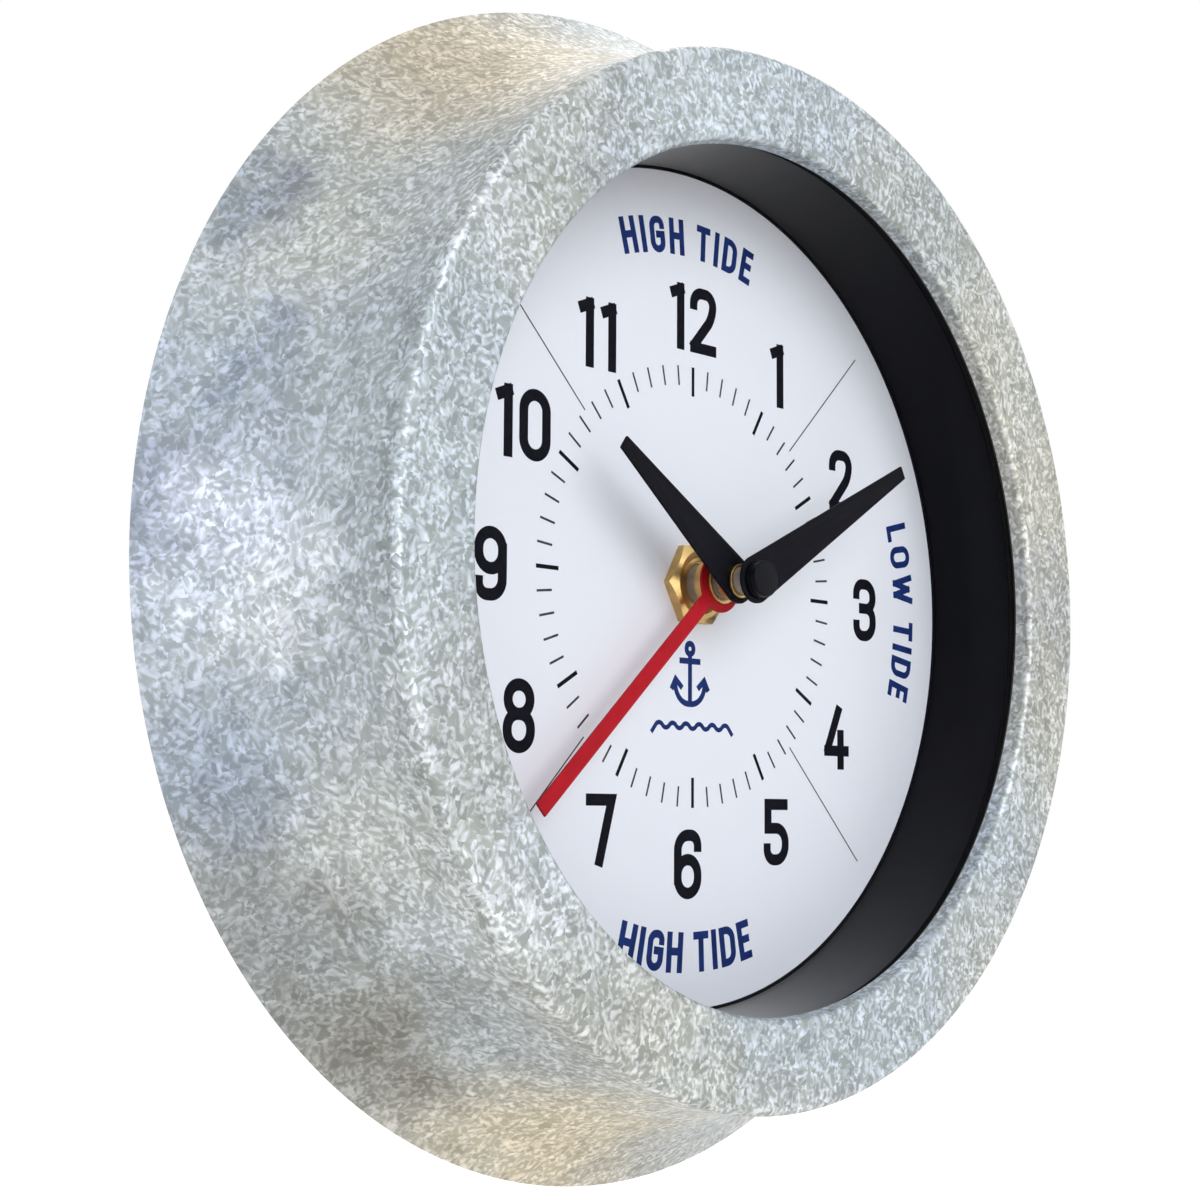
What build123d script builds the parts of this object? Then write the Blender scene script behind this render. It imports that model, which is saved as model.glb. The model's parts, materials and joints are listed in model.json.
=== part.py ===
from build123d import *
from math import acos, atan2, cos, degrees, hypot, pi, radians, sin, sqrt, tan
import os

# Round wall clock with a time and tide movement, in millimetres.
# It is modelled lying on its back: X right, Y up the dial, Z out of the wall.
# The last step stands each piece up: Z is then up, and the dial looks along -Y.

# Case shell, spun from zinc coated sheet
rim_radius = 110.0
case_flare = 16.4
face_width = 16.4
face_edge = 2.9
sheet = 0.9
outer_bend = 1.5
lip_bend = 1.2
lip_length = 3.5

# Lens, its gasket and the black ring behind it
gasket_thickness = 0.5
gasket_inset = 0.2
lens_thickness = 1.8
lens_lap = 2.6
lens_clearance = 0.1
ring_reveal = 0.5
ring_draft = 0.5
ring_wall = 1.3
ring_flange_width = 1.8
ring_flange_thickness = 1.4

# Dial, its carrier and the fastening to the case
dial_thickness = 0.8
dial_margin = 1.0
carrier_clearance = 1.2
carrier_thickness = 1.6
rib_count = 12
rib_thickness = 1.2
rib_height = 2.4
rib_to_movement = 4.4
rib_to_washer = 3.0
stud_count = 4
stud_to_dial = 2.5
stud_radius = 1.5
stud_tail = 1.1
stud_hole_clearance = 0.25
stud_nut_flats = 5.5
stud_nut_height = 2.4
stud_washer_radius = 3.5
stud_washer_thickness = 0.5

# Hanger bracket on the carrier
hanger_boss_height = 4.0
hanger_boss_radius = 3.4
hanger_to_dial_edge = 7.0
hanger_width = 26.0
hanger_height = 26.0
hanger_sheet = 1.0
hanger_wall_gap = 1.6
hanger_foot_width = 10.0
hanger_screw_pitch = 14.0
keyhole_radius = 4.5
keyhole_slot_width = 4.6
keyhole_slot_rise = 9.0
keyhole_drop = 5.0
hanger_screw_radius = 1.4
hanger_screw_length = 3.4
hanger_screw_head_radius = 2.6
hanger_screw_head_height = 1.4

# Movement case, seen from the back of the clock
movement_gap = 0.8
movement_wall = 1.2
front_plate_thickness = 1.2
bay_floor = 0.6
bay_play = 0.6
bay_drop = 11.0
washer_thickness = 0.9
washer_radius = 12.0
plate_clearance = 0.2
train_plate_thickness = 1.0
pillar_radius = 1.6
pillar_inset = 3.6

# Threaded bushing and its hex nut
thread_radius = 5.0
bushing_flange_radius = 6.2
bushing_flange_thickness = 0.8
bushing_recess = 0.6
nut_flats = 14.0
nut_height = 2.4
nut_chamfer = 0.5
thread_clearance = 0.1

# Battery and its contacts
battery_radius = 7.0
battery_length = 49.4
battery_nub_radius = 2.75
battery_nub_length = 1.0
battery_clearance = 0.05
contact_sheet = 0.3
contact_width = 5.4
contact_rise = 8.0
spring_reach = 2.4
spring_half_height = 5.0
spring_play = 0.45
contact_tail_width = 0.9

# Gear teeth
pressure_angle = 25
addendum_share = 0.8
dedendum_share = 1.05
backlash_share = 0.1

# Running fits and pivots
tube_fit = 0.08
pivot_fit = 0.05
pivot_radius = 0.5
pivot_depth = 0.6
pivot_end_gap = 0.1
axial_gap = 0.3

# Coaxial tubes on the centre line
shaft_radius = 1.5
shaft_tail_radius = 0.8
hour_tube_radius = 2.45
tide_tube_radius = 3.7
tide_spigot_radius = 3.1
tube_end_gap = 0.2
shaft_proud = 0.15
motion_wheel_thickness = 0.75

# Motion work: minute shaft to hour wheel
reduction_distance = 9.6
reduction_angle = -10
cannon_teeth = 12
reduction_teeth = 36
reduction_pinion_teeth = 12
hour_teeth = 48

# Tide work: the tide hand turns once in 24 hours and 50 minutes
tide_idler_distance = 9.875
tide_idler_angle = 100
hour_tide_teeth = 57
tide_idler_teeth = 40
tide_pinion_teeth = 20
tide_teeth = 59

# Setting knobs at the back
time_knob_teeth = 12
time_knob_angle = 35
tide_knob_teeth = 16
tide_knob_angle = 200
knob_shaft_radius = 0.6
knob_radius = 4.6
knob_thickness = 1.4
knob_gap = 0.4
knob_pocket_depth = 1.6
knob_pocket_floor = 1.0
knob_notch_count = 12
knob_notch_radius = 0.5

# Going train: rotor to centre wheel
train_wheel_thickness = 0.8
train_gap = 0.6
centre_wheel_teeth = 80
third_pinion_teeth = 10
third_distance = 9.0
third_angle = 140
third_wheel_teeth = 75
seconds_pinion_teeth = 10
seconds_distance = 7.65
seconds_angle = 75
seconds_wheel_teeth = 50
fifth_pinion_teeth = 10
fifth_distance = 7.2
fifth_angle = 10
fifth_wheel_teeth = 60
rotor_pinion_teeth = 10
rotor_distance = 7.0
rotor_angle = -20

# Stepping motor and circuit
magnet_radius = 2.5
magnet_length = 2.0
stator_thickness = 0.6
stator_air_gap = 0.4
stator_leg_width = 3.0
stator_ear_radius = 4.4
coil_length = 16.0
coil_radius = 2.6
coil_flange_thickness = 0.8
coil_wire_depth = 0.3
coil_pillar_gap = 1.6
coil_wheel_gap = 0.4
coil_wall_gap = 0.6
coil_core_radius = 1.0
coil_core_overhang = 3.0
board_thickness = 0.8
board_wheel_gap = 0.7
board_height = 26.0
board_lift = 1.5
board_inset = 0.4
crystal_radius = 1.0
crystal_length = 6.0
chip_radius = 2.4
chip_height = 0.9

# Hands and their bushes
shown_minutes = 10.2
shown_hour = 10
tide_hand_bearing = 227.8
hand_thickness = 0.5
tide_hand_lift = 6.35
hand_step = 4.2
tide_hand_margin = 15.2
tide_hand_width = 3.0
tide_hub_radius = 5.5
hour_hand_share = 0.72
hour_hub_radius = 4.1
minute_hand_margin = 25.2
minute_hub_radius = 4.3
hand_tip_width = 2.6
tide_bush_collar = 1.25
tide_bush_radius = 3.75
tide_flange_radius = 3.9
hour_bush_collar = 2.0
hour_bush_radius = 3.1
minute_bush_collar = 0.45
minute_bush_radius = 2.5
minute_flange_radius = 2.7
bush_wall = 0.3
bush_flange = 0.75
cap_radius = 3.45
cap_thickness = 1.45
cap_edge = 0.6
cap_gap = 0.1
cap_stem_radius = 1.4
cap_to_lens = 0.65

overrun = 1.0


def disc(radius, back, front, at=(0, 0)):
    """Solid cylinder between two depths."""
    return Pos(at[0], at[1], (back + front) / 2) * Cylinder(radius, front - back)


def ring(outer, inner, back, front, at=(0, 0)):
    """Cylinder with a round hole through it."""
    return disc(outer, back, front, at) - disc(inner, back - overrun, front + overrun, at)


def block(left, right, low, high, back, front):
    """Box between two corners."""
    centre = Pos((left + right) / 2, (low + high) / 2, (back + front) / 2)
    return centre * Box(right - left, high - low, front - back)


def prism(points, back, front):
    """Straight sided outline between two depths."""
    return Pos(0, 0, back) * extrude(make_face(Polyline(*points, close=True)), amount=front - back)


def turned(points):
    """Closed profile of (radius, depth) corners turned about the centre line."""
    outline = Polyline(*[(radius, 0, depth) for radius, depth in points], close=True)
    return revolve(make_face(outline), Axis.Z)


def hexagon(flats, back, front, at=(0, 0)):
    """Six sided bar with corners to the left and right."""
    return Pos(at[0], at[1], back) * extrude(RegularPolygon(flats / sqrt(3), 6), amount=front - back)


def polar(distance, angle, start=(0, 0)):
    """Point at an angle from the X axis."""
    return (start[0] + distance * cos(radians(angle)), start[1] + distance * sin(radians(angle)))


def around(count, radius, first_angle=0):
    """Evenly spaced points on a circle."""
    return [polar(radius, first_angle + 360 * step / count) for step in range(count)]


def pair_module(teeth, mate_teeth, distance):
    """Tooth size of two meshing wheels at a given centre distance."""
    return 2 * distance / (teeth + mate_teeth)


def tip_radius(teeth, module):
    """Outer radius of a wheel."""
    return module * teeth / 2 + addendum_share * module


def gear(teeth, module, phase, back, front, at=(0, 0)):
    """Stub involute wheel; phase is the angle in radians of one tooth's middle."""
    pitch = module * teeth / 2
    base = pitch * cos(radians(pressure_angle))
    tip = tip_radius(teeth, module)
    root = pitch - dedendum_share * module
    involute = tan(radians(pressure_angle)) - radians(pressure_angle)
    half_tooth = (1 - backlash_share) * pi / (2 * teeth)

    def half_angle(radius):
        slope = acos(min(1, base / radius))
        return half_tooth + involute - (tan(slope) - slope)

    flank = [root, max(root, base), (max(root, base) + tip) / 2, tip]
    if root >= base:
        flank = [root, (root + tip) / 2, tip]
    points = []
    for tooth in range(teeth):
        middle = phase + 2 * pi * tooth / teeth
        for radius in flank:
            angle = middle - half_angle(radius)
            points.append((at[0] + radius * cos(angle), at[1] + radius * sin(angle)))
        for radius in reversed(flank):
            angle = middle + half_angle(radius)
            points.append((at[0] + radius * cos(angle), at[1] + radius * sin(angle)))
    return prism(points, back, front)


def mesh_phase(teeth, at, phase, mate_teeth, mate_at):
    """Phase that puts a gap of the mate on the first wheel's tooth."""
    line = atan2(mate_at[1] - at[1], mate_at[0] - at[0])
    return line + pi - pi / mate_teeth - (teeth / mate_teeth) * (phase - line)


def pivot(back, front, at, radius=pivot_radius):
    """Arbor that ends a little short of its two holes."""
    return disc(radius, back + pivot_end_gap, front - pivot_end_gap, at)


# Wheel places and tooth sizes
centre = (0, 0)
reduction_at = polar(reduction_distance, reduction_angle)
tide_idler_at = polar(tide_idler_distance, tide_idler_angle)
time_knob_at = polar(reduction_distance, time_knob_angle, reduction_at)
tide_module = pair_module(tide_teeth, tide_pinion_teeth, tide_idler_distance)
tide_knob_at = polar(tide_module * (tide_teeth + tide_knob_teeth) / 2, tide_knob_angle)
third_at = polar(third_distance, third_angle)
seconds_at = polar(seconds_distance, seconds_angle, third_at)
fifth_at = polar(fifth_distance, fifth_angle, seconds_at)
rotor_at = polar(rotor_distance, rotor_angle, fifth_at)

cannon_module = pair_module(cannon_teeth, reduction_teeth, reduction_distance)
hour_module = pair_module(reduction_pinion_teeth, hour_teeth, reduction_distance)
hour_tide_module = pair_module(hour_tide_teeth, tide_idler_teeth, tide_idler_distance)
rotor_module = pair_module(rotor_pinion_teeth, fifth_wheel_teeth, rotor_distance)
fifth_module = pair_module(fifth_pinion_teeth, seconds_wheel_teeth, fifth_distance)
seconds_module = pair_module(seconds_pinion_teeth, third_wheel_teeth, seconds_distance)
third_module = pair_module(third_pinion_teeth, centre_wheel_teeth, third_distance)

# Levels inside the movement, from the wall out
gear_floor = movement_gap + movement_wall
train_step = train_wheel_thickness + train_gap
train_level = [gear_floor + train_gap + train_step * step for step in range(4)]
train_plate_back = train_level[3] + train_step
train_plate_front = train_plate_back + train_plate_thickness
motion_step = motion_wheel_thickness + axial_gap
motion_level = [train_plate_front + plate_clearance + motion_step * step for step in range(4)]
plate_back = motion_level[3] + motion_step + bushing_flange_thickness
movement_front = plate_back + front_plate_thickness

# Depths of the dial, the hands, the lens and the case, on from the movement
carrier_back = movement_front + washer_thickness
dial_back = carrier_back + carrier_thickness
dial_face = dial_back + dial_thickness
bushing_front = dial_face + nut_height - bushing_recess
tide_hand_back = dial_face + tide_hand_lift
hour_hand_back = tide_hand_back + hand_step
minute_hand_back = hour_hand_back + hand_step
hour_tube_front = minute_hand_back - minute_bush_collar - tube_end_gap
shaft_front = minute_hand_back + hand_thickness + shaft_proud
cap_back = minute_hand_back + hand_thickness + bush_flange + cap_gap
lens_back = cap_back + cap_thickness + cap_to_lens
lens_front = lens_back + lens_thickness
lip_end = lens_front + gasket_thickness
case_depth = lip_end + lip_length
cove_start = case_depth - face_edge

# Radii and lengths across the dial, from the rim in
face_radius = rim_radius - case_flare
window_radius = face_radius - face_width
lens_radius = window_radius + lens_lap
ring_radius_back = window_radius + ring_reveal
ring_outer_radius = lens_radius + lens_clearance + ring_wall
dial_radius = ring_outer_radius + ring_flange_width + dial_margin
stud_circle = dial_radius + stud_to_dial
tide_hand_length = window_radius - tide_hand_margin
minute_hand_length = window_radius - minute_hand_margin
hour_hand_length = hour_hand_share * minute_hand_length
bushing_hole = tide_tube_radius + tube_fit

# Cove of the case side: an arc, tangent to the straight part behind the face
cove_radius = (case_flare ** 2 + cove_start ** 2) / (2 * case_flare)
cove_x = face_radius + cove_radius
carrier_slope = sqrt((cove_radius + sheet) ** 2 - (cove_start - dial_back) ** 2)
carrier_radius = cove_x - carrier_slope - carrier_clearance

# Movement case, as wide as the battery with its contacts and as high as the train
battery_run = battery_length + battery_nub_length + battery_clearance
inner_half = (battery_run + contact_sheet + spring_reach + spring_play) / 2
half_case = inner_half + movement_wall
partition_top = -bay_drop
partition_base = partition_top - movement_wall
bay_low = partition_base - 2 * battery_radius - bay_play
bay_middle = (partition_base + bay_low) / 2
case_low = bay_low - movement_wall
fifth_tip = fifth_at[1] + tip_radius(fifth_wheel_teeth, rotor_module)
coil_y = fifth_tip + coil_wheel_gap + coil_radius
gear_top = coil_y + coil_radius + coil_wall_gap
case_top = gear_top + movement_wall
coil_end = inner_half - pillar_inset - pillar_radius - coil_pillar_gap - coil_core_overhang
coil_x = coil_end - coil_length / 2
coil_z = train_level[0] + coil_radius
stator_back = coil_z + coil_core_radius

# Board beside the third wheel, on the battery's contacts
board_left = board_inset + contact_sheet - inner_half
board_right = third_at[0] - tip_radius(third_wheel_teeth, seconds_module) - board_wheel_gap
board_low = partition_top + contact_sheet + board_inset
board_back = gear_floor + board_lift
board_front = board_back + board_thickness
board_centre = ((board_left + board_right) / 2, board_low + board_height / 2)

# Ribs and hanger on the carrier
rib_start = hypot(half_case, case_low) + rib_to_movement
rib_end = stud_circle - stud_washer_radius - rib_to_washer
hanger_y = dial_radius - hanger_to_dial_edge
hanger_back = hanger_wall_gap
hanger_foot_back = carrier_back - hanger_boss_height - hanger_sheet
hanger_screw_x = hanger_width / 2 + hanger_foot_width / 2


def make_case_shell():
    """Cove side, flat face and folded lip, in one thickness of sheet."""
    def side(inset):
        """Outline of one skin, a given distance inside the outer one."""
        bend = outer_bend - inset
        lip = lip_bend - inset
        edge = face_radius - inset
        top = case_depth - inset
        inner_edge = window_radius + inset
        reach = cove_radius + inset
        foot = sqrt(reach ** 2 - cove_start ** 2)
        sweep = degrees(atan2(cove_start, foot))
        return [
            CenterArc((cove_x, cove_start), reach, 180, sweep),
            Line((edge, cove_start), (edge, case_depth - outer_bend)),
            CenterArc((face_radius - outer_bend, case_depth - outer_bend), bend, 0, 90),
            Line((face_radius - outer_bend, top), (window_radius + lip_bend, top)),
            CenterArc((window_radius + lip_bend, case_depth - lip_bend), lip, 90, 90),
            Line((inner_edge, case_depth - lip_bend), (inner_edge, lip_end)),
        ]

    outer = side(0)
    inner = side(sheet)
    ends = [
        Line(outer[-1] @ 1, inner[-1] @ 1),
        Line(inner[0] @ 1, outer[0] @ 1),
    ]
    profile = make_face(Curve() + outer + inner + ends)
    return revolve(Rot(90, 0, 0) * profile, Axis.Z)


def make_case_studs():
    """Threaded studs welded to the back of the face."""
    back = carrier_back - stud_washer_thickness - stud_nut_height - stud_tail
    return [disc(stud_radius, back, case_depth - sheet, at) for at in stud_places()]


def stud_places():
    return around(stud_count, stud_circle, 180 / stud_count)


def make_lens_gasket():
    return ring(lens_radius, window_radius + gasket_inset, lens_front, lip_end)


def make_lens():
    return disc(lens_radius, lens_back, lens_front)


def make_inner_ring():
    """Black ring with a rebate for the lens and a foot on the dial."""
    rebate = lens_radius + lens_clearance
    foot = ring_outer_radius + ring_flange_width
    flange_top = dial_face + ring_flange_thickness
    return turned([
        (ring_radius_back, dial_face),
        (foot, dial_face),
        (foot, flange_top),
        (ring_outer_radius, flange_top),
        (ring_outer_radius, lip_end),
        (rebate, lip_end),
        (rebate, lens_back),
        (ring_radius_back + ring_draft, lens_back),
    ])


def make_dial():
    return ring(dial_radius, thread_radius + thread_clearance, dial_back, dial_face)


def hanger_screw_places():
    rise = hanger_screw_pitch / 2
    return [(x, hanger_y + y) for x in (-hanger_screw_x, hanger_screw_x) for y in (-rise, rise)]


def make_dial_carrier():
    """Back plate that carries the dial, the movement and the hanger."""
    plate = ring(carrier_radius, thread_radius + thread_clearance, carrier_back, dial_back)
    rib_back = carrier_back - rib_height
    plate += ring(rib_start, rib_start - rib_thickness, rib_back, carrier_back)
    plate += ring(rib_end, rib_end - rib_thickness, rib_back, carrier_back)
    half = rib_thickness / 2
    for step in range(rib_count):
        rib = block(rib_start - half, rib_end - half, -half, half, rib_back, carrier_back)
        plate += Rot(0, 0, 360 * (step + 1 / 2) / rib_count) * rib
    room_x = hanger_screw_x + hanger_foot_width / 2 + overrun
    room_y = hanger_height / 2 + overrun
    room = block(-room_x, room_x, hanger_y - room_y, hanger_y + room_y,
                 rib_back - overrun, carrier_back)
    plate -= room
    boss_back = carrier_back - hanger_boss_height
    for at in hanger_screw_places():
        plate += disc(hanger_boss_radius, boss_back, carrier_back, at)
        plate -= disc(hanger_screw_radius, boss_back - overrun, boss_back + hanger_screw_length, at)
    for at in stud_places():
        hole = stud_radius + stud_hole_clearance
        plate -= disc(hole, carrier_back - overrun, dial_back + overrun, at)
    return plate


def make_stud_washers():
    back = carrier_back - stud_washer_thickness
    return [ring(stud_washer_radius, stud_radius, back, carrier_back, at) for at in stud_places()]


def make_stud_nuts():
    front = carrier_back - stud_washer_thickness
    nuts = []
    for at in stud_places():
        nut = hexagon(stud_nut_flats, front - stud_nut_height, front, at)
        nuts.append(nut - disc(stud_radius, front - stud_nut_height - overrun, front + overrun, at))
    return nuts


def make_hanger_bracket():
    """Bridge of bent sheet with a keyhole that drops over a wall screw."""
    half = hanger_width / 2
    low = hanger_y - hanger_height / 2
    high = hanger_y + hanger_height / 2
    foot_front = hanger_foot_back + hanger_sheet
    bracket = block(-half, half, low, high, hanger_back, hanger_back + hanger_sheet)
    for side in (-1, 1):
        leg = sorted((side * half, side * (half - hanger_sheet)))
        foot = sorted((side * (half - hanger_sheet), side * (half + hanger_foot_width)))
        bracket += block(leg[0], leg[1], low, high, hanger_back, foot_front)
        bracket += block(foot[0], foot[1], low, high, hanger_foot_back, foot_front)
    entry = (0, hanger_y - keyhole_drop)
    slot_end = (0, entry[1] + keyhole_slot_rise)
    back = hanger_back - overrun
    front = hanger_back + hanger_sheet + overrun
    half_slot = keyhole_slot_width / 2
    bracket -= disc(keyhole_radius, back, front, entry)
    bracket -= disc(half_slot, back, front, slot_end)
    bracket -= block(-half_slot, half_slot, entry[1], slot_end[1], back, front)
    for at in hanger_screw_places():
        hole = hanger_screw_radius + pivot_fit
        bracket -= disc(hole, hanger_foot_back - overrun, foot_front + overrun, at)
    return bracket


def make_hanger_screws():
    """Pan head screws through the bracket's feet into the carrier's bosses."""
    screws = []
    for at in hanger_screw_places():
        tip = hanger_foot_back + hanger_sheet + hanger_screw_length
        head_back = hanger_foot_back - hanger_screw_head_height
        head = disc(hanger_screw_head_radius, head_back, hanger_foot_back, at)
        screws.append(head + disc(hanger_screw_radius, hanger_foot_back, tip, at))
    return screws


def pillar_places():
    side = inner_half - pillar_inset
    low = partition_top + pillar_inset
    high = gear_top - pillar_inset
    return [(x, y) for x in (-side, side) for y in (low, high)]


def make_movement_case():
    """Box with a gear room and a battery bay that opens to the back."""
    case = block(-half_case, half_case, case_low, case_top, movement_gap, plate_back)
    case -= block(-inner_half, inner_half, partition_top, gear_top, gear_floor, plate_back + overrun)
    case -= block(-inner_half, inner_half, bay_low, partition_base,
                  movement_gap - overrun, plate_back + overrun)
    for at in pillar_places():
        case += disc(pillar_radius, gear_floor, train_plate_back, at)
    pocket_floor = movement_gap + knob_pocket_depth
    pocket_front = pocket_floor + knob_pocket_floor
    pocket = knob_radius + knob_gap
    for at in (time_knob_at, tide_knob_at):
        case += disc(pocket + movement_wall, gear_floor, pocket_front, at)
        case -= disc(pocket, movement_gap - overrun, pocket_floor, at)
        case -= disc(knob_shaft_radius + pivot_fit, pocket_floor - overrun, pocket_front + overrun, at)
    for at in (centre, third_at, seconds_at, fifth_at, rotor_at):
        radius = shaft_tail_radius if at == centre else pivot_radius
        case -= disc(radius + pivot_fit, gear_floor - pivot_depth, gear_floor + overrun, at)
    contact_back = train_level[0]
    for side in (-1, 1):
        edges = sorted((side * inner_half, side * (inner_half - contact_sheet - pivot_fit)))
        case -= block(edges[0], edges[1], partition_base - overrun, partition_top + overrun,
                      contact_back - pivot_fit, contact_back + contact_width + pivot_fit)
    return case


def make_movement_front_plate():
    """Cover of the movement, with the bushing's hole and the front pivots."""
    plate = block(-half_case, half_case, case_low, case_top, plate_back, movement_front)
    plate -= disc(thread_radius, plate_back - overrun, movement_front + overrun)
    plate -= block(-inner_half, inner_half, bay_low, partition_base,
                   plate_back - overrun, movement_front - bay_floor)
    for at in pillar_places():
        plate += disc(pillar_radius, train_plate_front, plate_back, at)
    for at in (reduction_at, tide_idler_at):
        plate -= disc(pivot_radius + pivot_fit, plate_back - overrun, plate_back + pivot_depth, at)
    for at in (time_knob_at, tide_knob_at):
        plate -= disc(knob_shaft_radius + pivot_fit, plate_back - overrun, plate_back + pivot_depth, at)
    return plate


def make_train_plate():
    """Plate between the going train and the motion work."""
    edge = inner_half - plate_clearance
    back = train_plate_back
    front = train_plate_front
    plate = block(-edge, edge, partition_top + plate_clearance, gear_top - plate_clearance, back, front)
    for at in (third_at, seconds_at, fifth_at, rotor_at, reduction_at, tide_idler_at):
        plate -= disc(pivot_radius + pivot_fit, back - overrun, front + overrun, at)
    for at in (time_knob_at, tide_knob_at):
        plate -= disc(knob_shaft_radius + pivot_fit, back - overrun, front + overrun, at)
    return plate - disc(shaft_radius + pivot_fit, back - overrun, front + overrun)


def make_threaded_bushing():
    flange_back = plate_back - bushing_flange_thickness
    bushing = ring(thread_radius, bushing_hole, plate_back, bushing_front)
    return bushing + ring(bushing_flange_radius, bushing_hole, flange_back, plate_back)


def make_rubber_washer():
    return ring(washer_radius, thread_radius + thread_clearance, movement_front, carrier_back)


def make_hex_nut():
    """Brass nut with its front corners turned off."""
    front = dial_face + nut_height
    nut = hexagon(nut_flats, dial_face, front)
    corner = nut_flats / sqrt(3)
    cone = turned([
        (0, dial_face),
        (corner, dial_face),
        (corner, front - nut_chamfer),
        (corner - 2 * nut_chamfer, front),
        (0, front),
    ])
    return (nut & cone) - disc(thread_radius, dial_face - overrun, front + overrun)


def make_battery():
    middle_z = movement_front - bay_floor - battery_clearance - battery_radius
    nub_tip = contact_sheet + battery_clearance - inner_half
    lying = Pos(nub_tip, bay_middle, middle_z) * Rot(0, 90, 0)
    shapes = Pos(0, 0, battery_nub_length / 2) * Cylinder(battery_nub_radius, battery_nub_length)
    shapes += Pos(0, 0, battery_nub_length + battery_length / 2) * Cylinder(battery_radius, battery_length)
    return lying * shapes


def make_battery_contact_positive():
    """Flat strip against the bay's left wall, up through the partition."""
    wall = -inner_half
    back = train_level[0]
    return block(wall, wall + contact_sheet, bay_middle - contact_width / 2, partition_top + contact_rise,
                 back, back + contact_width)


def make_battery_contact_negative():
    """Sprung leaf at the bay's right wall, with a tail along the partition."""
    wall = inner_half
    back = train_level[0]
    front = back + contact_width
    low = bay_middle - spring_half_height
    high = bay_middle + spring_half_height
    strip = block(wall - contact_sheet, wall, low, partition_top + contact_sheet, back, front)
    tail_front = back + contact_tail_width
    strip += block(board_right, wall, partition_top, partition_top + contact_sheet, back, tail_front)
    root = wall - contact_sheet
    crown = root - spring_reach + contact_sheet
    leaf = [
        (root, high),
        (crown, bay_middle + contact_sheet),
        (crown, bay_middle - contact_sheet),
        (root, low),
        (root, low + contact_sheet),
        (crown + contact_sheet, bay_middle),
        (root, high - contact_sheet),
    ]
    return strip + prism(leaf, back, front)


def make_circuit_board():
    board = block(board_left, board_right, board_low, board_low + board_height, board_back, board_front)
    for at in pillar_places():
        board -= disc(pillar_radius + plate_clearance, board_back - overrun, board_front + overrun, at)
    return board


def make_quartz_crystal():
    x, y = board_centre
    lift = board_front + crystal_radius
    rise = y + crystal_length
    return Pos(x, rise, lift) * Rot(90, 0, 0) * Cylinder(crystal_radius, crystal_length)


def make_controller_chip():
    return disc(chip_radius, board_front, board_front + chip_height, board_centre)


def coil_turned(radius, bore, start, end):
    """Round piece along the coil's own axis, which lies across the case."""
    middle = coil_x + (start + end) / 2
    body = Cylinder(radius, end - start) - Cylinder(bore, end - start + overrun)
    return Pos(middle, coil_y, coil_z) * Rot(0, 90, 0) * body


def make_coil_bobbin():
    half = coil_length / 2
    tube = coil_core_radius + 2 * plate_clearance
    bobbin = coil_turned(tube, coil_core_radius, -half, half)
    bobbin += coil_turned(coil_radius, coil_core_radius, -half, coil_flange_thickness - half)
    return bobbin + coil_turned(coil_radius, coil_core_radius, half - coil_flange_thickness, half)


def make_coil_winding():
    half = coil_length / 2 - coil_flange_thickness
    tube = coil_core_radius + 2 * plate_clearance
    return coil_turned(coil_radius - coil_wire_depth, tube, -half, half)


def make_coil_core():
    half = coil_length / 2 + coil_core_overhang
    core = Pos(coil_x, coil_y, coil_z) * Rot(0, 90, 0) * Cylinder(coil_core_radius, 2 * half)
    return core


def bar(start, end, width, back, front):
    """Flat bar with round ends between two points."""
    run = (end[0] - start[0], end[1] - start[1])
    length = hypot(run[0], run[1])
    body = block(0, length, -width / 2, width / 2, back, front)
    body = Pos(start[0], start[1], 0) * Rot(0, 0, degrees(atan2(run[1], run[0]))) * body
    return body + disc(width / 2, back, front, start) + disc(width / 2, back, front, end)


def make_stator():
    """Two cranked legs from the coil's core to a ring round the magnet."""
    back = stator_back
    front = stator_back + stator_thickness
    plate = disc(stator_ear_radius, back, front, rotor_at)
    half = coil_length / 2 + coil_core_overhang / 2
    knee_y = coil_y - coil_radius - stator_leg_width / 2 - plate_clearance
    for side in (-1, 1):
        end_x = coil_x + side * half
        plate += bar(rotor_at, (end_x, knee_y), stator_leg_width, back, front)
        plate += bar((end_x, knee_y), (end_x, coil_y), stator_leg_width, back, front)
    return plate - disc(magnet_radius + stator_air_gap, back - overrun, front + overrun, rotor_at)


# Phases of the going train, from the rotor on
rotor_phase = 0
fifth_wheel_phase = mesh_phase(rotor_pinion_teeth, rotor_at, rotor_phase, fifth_wheel_teeth, fifth_at)
seconds_wheel_phase = mesh_phase(fifth_pinion_teeth, fifth_at, 0, seconds_wheel_teeth, seconds_at)
third_wheel_phase = mesh_phase(seconds_pinion_teeth, seconds_at, 0, third_wheel_teeth, third_at)
centre_wheel_phase = mesh_phase(third_pinion_teeth, third_at, 0, centre_wheel_teeth, centre)


def train_wheel(at, wheel, pinion, level):
    """Wheel at one level with its pinion on the next, on one arbor."""
    back = train_level[level]
    front = back + train_wheel_thickness
    next_back = train_level[level + 1]
    teeth, module, phase = wheel
    body = gear(teeth, module, phase, back, front, at)
    teeth, module = pinion
    body += gear(teeth, module, 0, front, next_back + train_wheel_thickness, at)
    return body + pivot(gear_floor - pivot_depth, train_plate_front, at)


def make_rotor_magnet():
    back = stator_back + stator_thickness / 2 - magnet_length / 2
    return ring(magnet_radius, pivot_radius, back, back + magnet_length, rotor_at)


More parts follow.
